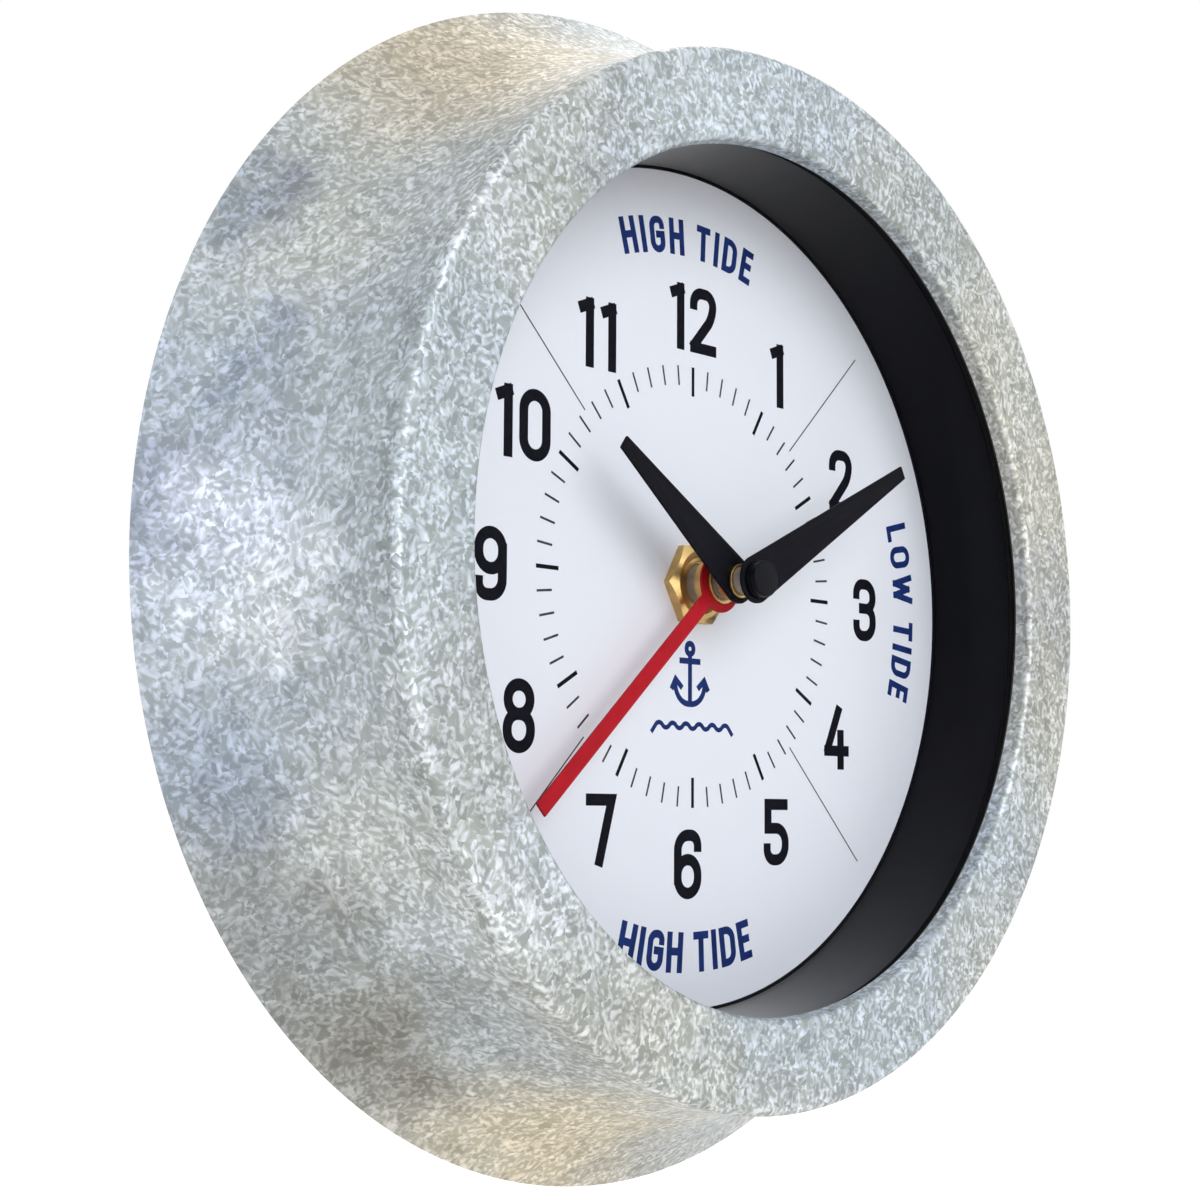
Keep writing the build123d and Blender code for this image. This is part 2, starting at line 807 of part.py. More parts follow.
def make_rotor_pinion():
    back = train_level[0]
    magnet_back = stator_back + stator_thickness / 2 - magnet_length / 2
    front = back + train_wheel_thickness
    pinion = gear(rotor_pinion_teeth, rotor_module, rotor_phase, back, front, rotor_at)
    pinion += pivot(gear_floor - pivot_depth, train_plate_front, rotor_at)
    return pinion + disc(2 * pivot_radius, front, magnet_back, rotor_at)


def make_fifth_wheel():
    wheel = (fifth_wheel_teeth, rotor_module, fifth_wheel_phase)
    return train_wheel(fifth_at, wheel, (fifth_pinion_teeth, fifth_module), 0)


def make_seconds_wheel():
    wheel = (seconds_wheel_teeth, fifth_module, seconds_wheel_phase)
    return train_wheel(seconds_at, wheel, (seconds_pinion_teeth, seconds_module), 1)


def make_third_wheel():
    wheel = (third_wheel_teeth, seconds_module, third_wheel_phase)
    return train_wheel(third_at, wheel, (third_pinion_teeth, third_module), 2)


def make_centre_wheel():
    """Last wheel of the going train; it drives the shaft through the clutch."""
    back = train_level[3]
    front = back + train_wheel_thickness
    wheel = gear(centre_wheel_teeth, third_module, centre_wheel_phase, back, front)
    return wheel - disc(shaft_tail_radius + pivot_fit, back - overrun, front + overrun)


def make_clutch_washer():
    back = train_level[3] + train_wheel_thickness
    return ring(2 * shaft_radius, shaft_tail_radius, back + pivot_fit, train_plate_back - pivot_fit)


def make_minute_shaft():
    shoulder = train_plate_back - pivot_fit
    tail = disc(shaft_tail_radius, gear_floor - pivot_depth + pivot_end_gap, shoulder)
    return tail + disc(shaft_radius, shoulder, shaft_front)


# Phases of the motion and tide work, from the minute shaft on
reduction_phase = mesh_phase(cannon_teeth, centre, 0, reduction_teeth, reduction_at)
hour_phase = mesh_phase(reduction_pinion_teeth, reduction_at, 0, hour_teeth, centre)
idler_phase = mesh_phase(hour_tide_teeth, centre, 0, tide_idler_teeth, tide_idler_at)
tide_phase = mesh_phase(tide_pinion_teeth, tide_idler_at, 0, tide_teeth, centre)
time_knob_phase = mesh_phase(reduction_teeth, reduction_at, reduction_phase, time_knob_teeth, time_knob_at)
tide_knob_phase = mesh_phase(tide_teeth, centre, tide_phase, tide_knob_teeth, tide_knob_at)


def motion_gear(teeth, module, phase, level, at=(0, 0)):
    back = motion_level[level]
    return gear(teeth, module, phase, back, back + motion_wheel_thickness, at)


def make_cannon_pinion():
    pinion = motion_gear(cannon_teeth, cannon_module, 0, 0)
    back = motion_level[0]
    return pinion - disc(shaft_radius, back - overrun, back + motion_wheel_thickness + overrun)


def make_reduction_wheel():
    wheel = motion_gear(reduction_teeth, cannon_module, reduction_phase, 0, reduction_at)
    front = motion_level[0] + motion_wheel_thickness
    wheel += disc(2 * pivot_radius, front, motion_level[1], reduction_at)
    wheel += motion_gear(reduction_pinion_teeth, hour_module, 0, 1, reduction_at)
    return wheel + pivot(train_plate_back, plate_back + pivot_depth, reduction_at)


def make_hour_wheel():
    """Hour wheel, tide drive wheel and hour tube in one moulding."""
    wheel = motion_gear(hour_teeth, hour_module, hour_phase, 1)
    wheel += motion_gear(hour_tide_teeth, hour_tide_module, 0, 2)
    wheel += disc(hour_tube_radius, motion_level[1], hour_tube_front)
    bore = shaft_radius + tube_fit
    return wheel - disc(bore, motion_level[1] - overrun, hour_tube_front + overrun)


def make_tide_idler():
    idler = motion_gear(tide_idler_teeth, hour_tide_module, idler_phase, 2, tide_idler_at)
    front = motion_level[2] + motion_wheel_thickness
    idler += disc(2 * pivot_radius, front, motion_level[3], tide_idler_at)
    idler += motion_gear(tide_pinion_teeth, tide_module, 0, 3, tide_idler_at)
    return idler + pivot(train_plate_back, plate_back + pivot_depth, tide_idler_at)


def make_tide_wheel():
    """Tide wheel and tide tube in one moulding, round the hour tube."""
    wheel = motion_gear(tide_teeth, tide_module, tide_phase, 3)
    spigot_back = tide_hand_back - tide_bush_collar
    wheel += disc(tide_tube_radius, motion_level[3], spigot_back)
    front = tide_hand_back + hand_thickness + bush_flange
    wheel += disc(tide_spigot_radius, spigot_back, front)
    bore = hour_tube_radius + tube_fit
    return wheel - disc(bore, motion_level[3] - overrun, front + overrun)


def setting_knob(at, pinion, level):
    """Notched knob in its pocket, its shaft and the pinion at one level."""
    teeth, module, phase = pinion
    back = movement_gap + pivot_end_gap
    knob = disc(knob_radius, back, back + knob_thickness, at)
    for notch in around(knob_notch_count, knob_radius):
        place = (at[0] + notch[0], at[1] + notch[1])
        knob -= disc(knob_notch_radius, back - overrun, back + knob_thickness + overrun, place)
    knob += disc(knob_shaft_radius, back, plate_back + pivot_depth - pivot_end_gap, at)
    return knob + motion_gear(teeth, module, phase, level, at)


def make_time_setting_knob():
    return setting_knob(time_knob_at, (time_knob_teeth, cannon_module, time_knob_phase), 0)


def make_tide_setting_knob():
    return setting_knob(tide_knob_at, (tide_knob_teeth, tide_module, tide_knob_phase), 3)


def hand_bush(bore, collar_radius, flange_radius, collar, hand_back):
    """Turned bush: collar behind the hand, neck through it, flange in front."""
    neck = bore + bush_wall
    hand_front = hand_back + hand_thickness
    return turned([
        (bore, hand_back - collar),
        (collar_radius, hand_back - collar),
        (collar_radius, hand_back),
        (neck, hand_back),
        (neck, hand_front),
        (flange_radius, hand_front),
        (flange_radius, hand_front + bush_flange),
        (bore, hand_front + bush_flange),
    ])


def make_tide_hand_bush():
    return hand_bush(tide_spigot_radius, tide_bush_radius, tide_flange_radius,
                     tide_bush_collar, tide_hand_back)


def make_hour_hand_bush():
    return hand_bush(hour_tube_radius, hour_bush_radius, hour_bush_radius,
                     hour_bush_collar, hour_hand_back)


def make_minute_hand_bush():
    return hand_bush(shaft_radius, minute_bush_radius, minute_flange_radius,
                     minute_bush_collar, minute_hand_back)


def tapered_hand(length, hub_radius, tip_width, bore, back, bearing):
    """Blade from the hub's sides to a square tip; bearing is clockwise from twelve."""
    half_tip = tip_width / 2
    lean = atan2(hub_radius - half_tip, length)
    side_x = hub_radius * cos(lean)
    side_y = hub_radius * sin(lean)
    blade = prism([(-side_x, side_y), (-half_tip, length), (half_tip, length), (side_x, side_y)],
                  back, back + hand_thickness)
    blade += disc(hub_radius, back, back + hand_thickness)
    blade -= disc(bore, back - overrun, back + hand_thickness + overrun)
    return Rot(0, 0, -bearing) * blade


def make_tide_hand():
    half = tide_hand_width / 2
    bore = tide_spigot_radius + bush_wall
    bar = block(-half, half, 0, tide_hand_length, tide_hand_back, tide_hand_back + hand_thickness)
    bar += disc(tide_hub_radius, tide_hand_back, tide_hand_back + hand_thickness)
    bar -= disc(bore, tide_hand_back - overrun, tide_hand_back + hand_thickness + overrun)
    return Rot(0, 0, -tide_hand_bearing) * bar


def make_hour_hand():
    bearing = 360 * (shown_hour + shown_minutes / 60) / 12
    return tapered_hand(hour_hand_length, hour_hub_radius, hand_tip_width,
                        hour_tube_radius + bush_wall, hour_hand_back, bearing)


def make_minute_hand():
    bearing = 360 * shown_minutes / 60
    return tapered_hand(minute_hand_length, minute_hub_radius, hand_tip_width,
                        shaft_radius + bush_wall, minute_hand_back, bearing)


def make_minute_hand_cap():
    """Round press-on cap over the end of the minute shaft."""
    cap = disc(cap_radius, cap_back, cap_back + cap_thickness)
    cap = fillet(cap.edges().group_by(Axis.Z)[-1], cap_edge)
    return cap + disc(cap_stem_radius, shaft_front + pivot_fit, cap_back)


makers = {
    "case_shell": make_case_shell,
    "case_studs": make_case_studs,
    "lens_gasket": make_lens_gasket,
    "lens": make_lens,
    "inner_ring": make_inner_ring,
    "dial": make_dial,
    "dial_carrier": make_dial_carrier,
    "stud_washers": make_stud_washers,
    "stud_nuts": make_stud_nuts,
    "hanger_bracket": make_hanger_bracket,
    "hanger_screws": make_hanger_screws,
    "movement_case": make_movement_case,
    "movement_front_plate": make_movement_front_plate,
    "train_plate": make_train_plate,
    "threaded_bushing": make_threaded_bushing,
    "rubber_washer": make_rubber_washer,
    "hex_nut": make_hex_nut,
    "battery": make_battery,
    "battery_contact_positive": make_battery_contact_positive,
    "battery_contact_negative": make_battery_contact_negative,
    "circuit_board": make_circuit_board,
    "quartz_crystal": make_quartz_crystal,
    "controller_chip": make_controller_chip,
    "coil_bobbin": make_coil_bobbin,
    "coil_winding": make_coil_winding,
    "coil_core": make_coil_core,
    "stator": make_stator,
    "rotor_magnet": make_rotor_magnet,
    "rotor_pinion": make_rotor_pinion,
    "fifth_wheel": make_fifth_wheel,
    "seconds_wheel": make_seconds_wheel,
    "third_wheel": make_third_wheel,
    "centre_wheel": make_centre_wheel,
    "clutch_washer": make_clutch_washer,
    "minute_shaft": make_minute_shaft,
    "cannon_pinion": make_cannon_pinion,
    "reduction_wheel": make_reduction_wheel,
    "hour_wheel": make_hour_wheel,
    "tide_idler": make_tide_idler,
    "tide_wheel": make_tide_wheel,
    "time_setting_knob": make_time_setting_knob,
    "tide_setting_knob": make_tide_setting_knob,
    "tide_hand": make_tide_hand,
    "tide_hand_bush": make_tide_hand_bush,
    "hour_hand": make_hour_hand,
    "hour_hand_bush": make_hour_hand_bush,
    "minute_hand": make_minute_hand,
    "minute_hand_bush": make_minute_hand_bush,
    "minute_hand_cap": make_minute_hand_cap,
}

os.makedirs("parts", exist_ok=True)
stand_up = Rot(90, 0, 0)
for name, make in makers.items():
    made = make()
    pieces = made if isinstance(made, list) else [made]
    solids = [solid for piece in pieces for solid in (stand_up * piece).solids()]
    shape = solids[0] if len(solids) == 1 else Compound(children=solids)
    shape.label = name
    export_step(shape, f"parts/{name}.step")
    print(name, len(solids), round(sum(solid.volume for solid in solids), 2))
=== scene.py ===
import json
import math
import bmesh
import bpy
from mathutils import Matrix, Vector


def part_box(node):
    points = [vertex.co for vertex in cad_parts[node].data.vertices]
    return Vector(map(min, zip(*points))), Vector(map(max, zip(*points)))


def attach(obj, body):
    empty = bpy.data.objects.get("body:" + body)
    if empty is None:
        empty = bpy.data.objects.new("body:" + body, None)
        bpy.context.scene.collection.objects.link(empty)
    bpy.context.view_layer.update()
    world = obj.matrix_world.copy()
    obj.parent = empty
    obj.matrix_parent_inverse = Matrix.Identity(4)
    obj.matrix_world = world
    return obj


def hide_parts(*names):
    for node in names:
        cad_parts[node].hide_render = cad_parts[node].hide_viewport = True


# A round wall clock with hour, minute and tide hands, in metres.
# X right, Z up, and the dial looks along -Y; the wall is the plane y = 0.
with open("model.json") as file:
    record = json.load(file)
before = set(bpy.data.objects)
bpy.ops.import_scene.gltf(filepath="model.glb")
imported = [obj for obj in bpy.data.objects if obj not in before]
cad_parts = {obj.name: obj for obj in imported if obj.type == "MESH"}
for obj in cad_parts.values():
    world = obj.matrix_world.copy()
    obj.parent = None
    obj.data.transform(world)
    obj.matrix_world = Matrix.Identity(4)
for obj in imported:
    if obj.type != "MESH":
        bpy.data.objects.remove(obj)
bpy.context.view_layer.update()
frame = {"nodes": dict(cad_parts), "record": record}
mm = 0.001
print("frame loaded:", len(frame["nodes"]), "nodes")


# Small helpers for materials

def addNode(tree, kind, inputs=None, **settings):
    node = tree.nodes.new("ShaderNode" + kind)
    for name, value in settings.items():
        setattr(node, name, value)
    for name, value in (inputs or {}).items():
        if isinstance(value, bpy.types.NodeSocket):
            tree.links.new(value, node.inputs[name])
        else:
            node.inputs[name].default_value = value
    return node


def startMaterial(name):
    material = bpy.data.materials.new(name)
    material.use_nodes = True
    tree = material.node_tree
    return material, tree, tree.nodes["Principled BSDF"], addNode(tree, "TexCoord").outputs["Object"]


def colour(values):
    return (*values, 1.0)


def grey(tree, value):
    return addNode(tree, "CombineColor", {0: value, 1: value, 2: value}).outputs[0]


def noise(tree, place, scale, detail, roughness=0.5):
    settings = {"Vector": place, "Scale": scale, "Detail": detail, "Roughness": roughness}
    return addNode(tree, "TexNoise", settings).outputs[0]


def ranged(tree, value, low, high, toLow, toHigh):
    settings = {"Value": value, "From Min": low, "From Max": high, "To Min": toLow, "To Max": toHigh}
    return addNode(tree, "MapRange", settings).outputs["Result"]


def mixed(tree, share, first, second, mode="MIX"):
    node = addNode(tree, "Mix", {0: share, 6: first, 7: second}, data_type="RGBA", blend_type=mode)
    return node.outputs[2]


def maths(tree, first, second, operation):
    return addNode(tree, "Math", {0: first, 1: second}, operation=operation).outputs[0]


def stretched(tree, place, factors):
    return addNode(tree, "VectorMath", {0: place, 1: factors}, operation="MULTIPLY").outputs[0]


# A place that wanders by noise, so that what is drawn there gets an uneven edge
def wandering(tree, place, scale, detail, distance, middle):
    shift = addNode(tree, "TexNoise", {"Vector": place, "Scale": scale, "Detail": detail}).outputs["Color"]
    shift = addNode(tree, "VectorMath", {0: shift, 1: (middle, middle, middle)}, operation="SUBTRACT").outputs[0]
    shift = addNode(tree, "VectorMath", {0: shift, "Scale": distance}, operation="SCALE").outputs[0]
    return addNode(tree, "VectorMath", {0: place, 1: shift}, operation="ADD").outputs[0]


def bumped(tree, shader, height, strength, distance):
    node = addNode(tree, "Bump", {"Height": height, "Strength": strength, "Distance": distance})
    tree.links.new(node.outputs["Normal"], shader.inputs["Normal"])


# Spangled zinc: crystals a few millimetres wide, each with its own feathers, and soft patches that are partly real
# stains and partly painted highlight, painted shade and painted reflection

galvanised = {
    "ground": (0.39, 0.42, 0.40), "dark": (0.28, 0.305, 0.295), "feather": (0.71, 0.755, 0.805),
    "warm": (1.07, 1.0, 0.90), "cool": (0.95, 1.0, 1.07), "metal": 0.5, "rough": 0.55, "smooth": 0.36,
    "crystals": 430, "turnSpan": (6.28, 6.28, 6.28), "featherStretch": (430, 1060, 1060),
    # scale, detail and roughness of each noise
    "feathers": (1.0, 1.0, 0.4), "mottles": (300, 3.0, 0.6), "clouds": (24, 3.0, 0.55), "tints": (14.4, 1.0, 0.5),
    # scale and detail of a wander, how far it goes and its middle
    "crystalWander": (700, 2.0, 0.0016, 0.0), "stainAndPaintedLightWander": (70, 3.0, 0.035, 0.5),
    # from a range to a range
    "featherRange": (0.42, 0.66, 0.0, 1.0), "mottleFade": (0.35, 0.62, 0.65, 1.0),
    "tintRange": (0.38, 0.62, 0.0, 1.0), "mottleTone": (0.3, 0.7, 0.92, 1.08), "cloudTone": (0.32, 0.68, 0.88, 1.12),
    # the feathers stand out less on the cove than on the ring: depths, then the contrast
    "contrast": (0.036, 0.041, 0.78, 1.0), "evenFeather": 0.45,
    "bumpStrength": 0.3, "bumpDistance": 0.0001, "stainAndPaintedLightCore": 0.15,
    # a few real stains in the zinc, and painted highlight, painted shade and painted reflection on the cove and the
    # front face
    "stainsAndPaintedLight": [  # middle and reach in millimetres, then what it does to the colour
        # painted highlight on the left of the cove; darker and bluer by the rear rim on the left
        ((-100, -16, -3), 22, (1.64, 1.56, 1.54)), ((-108, -2, 8), 34, (0.68, 0.70, 0.80)),
        # darker and bluer below the middle on the left; painted shade low on the left of the cove
        ((-98, -5, -33), 26, (0.80, 0.84, 0.94)), ((-90, -4, -55), 26, (0.66, 0.64, 0.62)),
        # painted shade low on the cove; painted warm reflection at the top
        ((-70, -6, -78), 30, (0.54, 0.50, 0.44)), ((-46, -9, 92), 50, (1.0, 0.90, 0.77)),
        # painted warm reflection at the bottom; a dark stain high on the left
        ((-25, -12, -98), 36, (1.18, 1.07, 0.90)), ((-89.4, -5, 54), 12, (0.66, 0.68, 0.75)),
        # a small darker bluish patch on the left; slightly lighter and warmer high on the left
        ((-97, -12, 29), 10, (0.76, 0.78, 0.85)), ((-86, -17, 50), 20, (1.06, 1.02, 0.97)),
        # painted reflection on the front face: darker and bluer on the right, lighter on the left
        ((87, -43, 0), 22, (0.90, 0.93, 1.03)), ((-87, -43, -14), 18, (1.12, 1.10, 1.08)),
        # painted highlight low on the left of the front face
        ((-66, -43, -57), 26, (1.15, 1.17, 1.22))],
}


def makeGalvanised(name, settings):
    material, tree, shader, place = startMaterial(name)
    moved = wandering(tree, place, *settings["crystalWander"])
    crystals = addNode(tree, "TexVoronoi", {"Vector": moved, "Scale": settings["crystals"]})
    crystalTone = addNode(tree, "SeparateColor", {0: crystals.outputs["Color"]}).outputs[0]
    turn = stretched(tree, crystals.outputs["Color"], settings["turnSpan"])
    turned = addNode(tree, "VectorRotate", {"Vector": place, "Rotation": turn}, rotation_type="EULER_XYZ")

    # Feathers: streaks that lie a different way in each crystal
    mottles = noise(tree, place, *settings["mottles"])
    feathers = noise(tree, stretched(tree, turned.outputs[0], settings["featherStretch"]), *settings["feathers"])
    feathers = ranged(tree, feathers, *settings["featherRange"])
    feathers = maths(tree, feathers, ranged(tree, mottles, *settings["mottleFade"]), "MULTIPLY")
    depth = maths(tree, addNode(tree, "SeparateXYZ", {0: place}).outputs[1], -1.0, "MULTIPLY")
    offset = maths(tree, feathers, settings["evenFeather"], "SUBTRACT")
    offset = maths(tree, offset, ranged(tree, depth, *settings["contrast"]), "MULTIPLY")
    feathers = maths(tree, offset, settings["evenFeather"], "ADD")

    # Colour: crystals and feathers, then the tint, the clouds, and the patches of real stains and painted highlight,
    # shade and reflection
    base = mixed(tree, crystalTone, colour(settings["ground"]), colour(settings["dark"]))
    base = mixed(tree, feathers, base, colour(settings["feather"]))
    tint = ranged(tree, noise(tree, place, *settings["tints"]), *settings["tintRange"])
    base = mixed(tree, 1.0, base, mixed(tree, tint, colour(settings["cool"]), colour(settings["warm"])), "MULTIPLY")
    clouds = ranged(tree, noise(tree, place, *settings["clouds"]), *settings["cloudTone"])
    tone = maths(tree, clouds, ranged(tree, mottles, *settings["mottleTone"]), "MULTIPLY")
    base = mixed(tree, 1.0, base, grey(tree, tone), "MULTIPLY")
    uneven = wandering(tree, place, *settings["stainAndPaintedLightWander"])
    # each patch multiplies the colour near its middle; some are real stains, the rest painted highlight, painted
    # shade and painted reflection
    for middle, reach, change in settings["stainsAndPaintedLight"]:
        centre = [value * mm for value in middle]
        away = addNode(tree, "VectorMath", {0: uneven, 1: centre}, operation="DISTANCE").outputs["Value"]
        span = {"Value": away, "From Min": settings["stainAndPaintedLightCore"] * reach * mm, "From Max": reach * mm,
                "To Min": 1.0, "To Max": 0.0}
        inside = addNode(tree, "MapRange", span, interpolation_type="SMOOTHSTEP").outputs["Result"]
        base = mixed(tree, inside, base, colour(change), "MULTIPLY")
    tree.links.new(base, shader.inputs["Base Color"])
    rough = ranged(tree, feathers, 0, 1, settings["rough"], settings["smooth"])
    tree.links.new(rough, shader.inputs["Roughness"])
    shader.inputs["Metallic"].default_value = settings["metal"]
    relief = maths(tree, feathers, mottles, "ADD")
    bumped(tree, shader, relief, settings["bumpStrength"], settings["bumpDistance"])
    return material


# Every other finish: a base colour that drifts, a grain and a roughness that varies

plainSurface = {"driftDetail": 4.0, "driftRange": (0.3, 0.7), "grainDetail": 2.0, "grainStrength": 0.6}
finishes = {
    "dialPaint": {"colour": (0.855, 0.88, 0.97), "drift": 0.01, "driftScale": 30, "rough": (0.42, 0.55),
                  "grainScale": 2600, "grain": 0.00001, "gloss": 0.3},
    "blackInk": {"colour": (0.007, 0.007, 0.012), "drift": 0.3, "driftScale": 900, "rough": (0.45, 0.6),
                 "grainScale": 3000, "grain": 0.000008, "gloss": 0.04},
    "greyInk": {"colour": (0.05, 0.05, 0.06), "drift": 0.35, "driftScale": 700, "rough": (0.45, 0.6),
                "grainScale": 3000, "grain": 0.000008, "gloss": 0.1},
    "blueInk": {"colour": (0.010, 0.028, 0.15), "drift": 0.25, "driftScale": 500, "rough": (0.45, 0.6),
                "grainScale": 3000, "grain": 0.000008, "gloss": 0.1},
    "ringPlastic": {"colour": (0.004, 0.004, 0.007), "drift": 0.10, "driftScale": 200, "rough": (0.45, 0.50),
                    "grainScale": 1500, "grain": 0.000005, "gloss": 0.03, "sheen": 0.75, "sheenRough": 0.36},
    "capPlastic": {"colour": (0.005, 0.005, 0.008), "drift": 0.15, "driftScale": 300, "rough": (0.28, 0.34),
                   "grainScale": 2500, "grain": 0.000002, "gloss": 0.10},
    "casePlastic": {"colour": (0.020, 0.020, 0.022), "drift": 0.25, "driftScale": 80, "rough": (0.45, 0.62),
                    "grainScale": 1900, "grain": 0.00004},
    "whitePlastic": {"colour": (0.78, 0.77, 0.72), "drift": 0.05, "driftScale": 120, "rough": (0.35, 0.5),
                     "grainScale": 1500, "grain": 0.00002},
    "greyPlastic": {"colour": (0.42, 0.37, 0.35), "drift": 0.10, "driftScale": 300, "rough": (0.35, 0.5),
                    "grainScale": 1800, "grain": 0.00002},
    "redPlastic": {"colour": (0.45, 0.02, 0.02), "drift": 0.08, "driftScale": 150, "rough": (0.35, 0.5),
                   "grainScale": 1500, "grain": 0.00002},
    "rubber": {"colour": (0.018, 0.018, 0.018), "drift": 0.3, "driftScale": 300, "rough": (0.7, 0.85),
               "grainScale": 2500, "grain": 0.00004},
    "blackPaint": {"colour": (0.007, 0.007, 0.011), "drift": 0.25, "driftScale": 200, "rough": (0.50, 0.62),
                   "grainScale": 2200, "grain": 0.00002, "gloss": 0.06},
    "redPaint": {"colour": (0.48, 0.009, 0.020), "drift": 0.10, "driftScale": 200, "rough": (0.36, 0.48),
                 "grainScale": 1600, "grain": 0.00002, "gloss": 0.12},
    "brass": {"colour": (0.62, 0.42, 0.17), "drift": 0.18, "driftScale": 420, "rough": (0.26, 0.44),
              "grainScale": 1800, "grain": 0.00002, "metal": 1.0},
    "zincPlate": {"colour": (0.60, 0.61, 0.60), "drift": 0.14, "driftScale": 140, "rough": (0.25, 0.42),
                  "grainScale": 1500, "grain": 0.00002, "metal": 1.0},
    "nickel": {"colour": (0.66, 0.64, 0.60), "drift": 0.08, "driftScale": 200, "rough": (0.15, 0.28),
               "grainScale": 2000, "grain": 0.00001, "metal": 1.0},
    "siliconSteel": {"colour": (0.32, 0.32, 0.34), "drift": 0.15, "driftScale": 300, "rough": (0.35, 0.5),
                     "grainScale": 2500, "grain": 0.00002, "metal": 1.0},
    "magnet": {"colour": (0.10, 0.10, 0.11), "drift": 0.2, "driftScale": 900, "rough": (0.45, 0.6),
               "grainScale": 3000, "grain": 0.00003, "metal": 0.6},
    "copperWire": {"colour": (0.45, 0.15, 0.05), "drift": 0.2, "driftScale": 2500, "rough": (0.2, 0.35),
                   "grainScale": 6000, "grain": 0.00004, "metal": 0.9},
    "board": {"colour": (0.02, 0.17, 0.06), "drift": 0.3, "driftScale": 500, "rough": (0.25, 0.4),
              "grainScale": 1200, "grain": 0.00003},
}


def makeFinish(name, settings):
    material, tree, shader, place = startMaterial(name)
    drift = noise(tree, place, settings["driftScale"], plainSurface["driftDetail"])
    grain = noise(tree, place, settings["grainScale"], plainSurface["grainDetail"])
    least, most = plainSurface["driftRange"]
    low = [channel * (1 - settings["drift"]) for channel in settings["colour"]]
    high = [channel * (1 + settings["drift"]) for channel in settings["colour"]]
    base = mixed(tree, ranged(tree, drift, least, most, 0, 1), colour(low), colour(high))
    tree.links.new(base, shader.inputs["Base Color"])
    tree.links.new(ranged(tree, drift, least, most, *settings["rough"]), shader.inputs["Roughness"])
    shader.inputs["Metallic"].default_value = settings.get("metal", 0.0)
    shader.inputs["Specular IOR Level"].default_value = settings.get("gloss", 0.5)
    shader.inputs["Sheen Weight"].default_value = settings.get("sheen", 0.0)
    shader.inputs["Sheen Roughness"].default_value = settings.get("sheenRough", 0.5)
    bumped(tree, shader, grain, plainSurface["grainStrength"], settings["grain"])
    return material


# Clear in the middle, with more of a shine the flatter it is seen
lensGlass = {"clear": (0.985, 0.99, 0.99), "gloss": (0.25, 0.26, 0.27), "smears": (60, 3.0),
             "rough": (0.3, 0.7, 0.03, 0.10), "edge": (0.45, 1.0, 0.0, 0.30)}


def makeLensMaterial(name, settings):
    material, tree, shader, place = startMaterial(name)
    tree.nodes.remove(shader)
    clear = addNode(tree, "BsdfTransparent", {"Color": colour(settings["clear"])})
    gloss = addNode(tree, "BsdfGlossy", {"Color": colour(settings["gloss"])})
    smears = noise(tree, place, *settings["smears"])
    tree.links.new(ranged(tree, smears, *settings["rough"]), gloss.inputs["Roughness"])
    facing = addNode(tree, "LayerWeight", {"Blend": 0.5}).outputs["Facing"]
    edge = ranged(tree, facing, *settings["edge"])
    pane = addNode(tree, "MixShader", {0: edge, 1: clear.outputs[0], 2: gloss.outputs[0]})
    tree.links.new(pane.outputs[0], tree.nodes["Material Output"].inputs["Surface"])
    return material


# Plain wrapped cell: a copper coloured band at its positive end and a thin line beside it
batterySleeve = {"body": (0.025, 0.03, 0.045), "band": (0.62, 0.27, 0.10), "line": (0.75, 0.75, 0.72),
                 "bandEnd": -12.0 * mm, "lineWidth": 0.8 * mm, "edge": 0.02 * mm,
                 "scuffs": (350, 4.0), "scuffRange": (0.35, 0.65, 0.85, 1.1),
                 "wear": (90, 3.0), "wearRange": (0.3, 0.7, 0.18, 0.32)}


def makeSleeve(name, settings):
    material, tree, shader, place = startMaterial(name)
    along = addNode(tree, "SeparateXYZ", {0: place}).outputs[0]
    end, width, edge = settings["bandEnd"], settings["lineWidth"], settings["edge"]
    inBand = ranged(tree, along, end, end + edge, 1, 0)
    inLine = ranged(tree, along, end + width, end + width + edge, 1, 0)
    base = mixed(tree, inLine, colour(settings["body"]), colour(settings["line"]))
    base = mixed(tree, inBand, base, colour(settings["band"]))
    scuffs = ranged(tree, noise(tree, place, *settings["scuffs"]), *settings["scuffRange"])
    tree.links.new(mixed(tree, 1.0, base, grey(tree, scuffs), "MULTIPLY"), shader.inputs["Base Color"])
    wear = ranged(tree, noise(tree, place, *settings["wear"]), *settings["wearRange"])
    tree.links.new(wear, shader.inputs["Roughness"])
    return material


materials = {name: makeFinish(name, settings) for name, settings in finishes.items()}
materials["galvanised"] = makeGalvanised("galvanised", galvanised)
materials["lensClear"] = makeLensMaterial("lensClear", lensGlass)
materials["sleeve"] = makeSleeve("sleeve", batterySleeve)
print("materials:", len(materials))

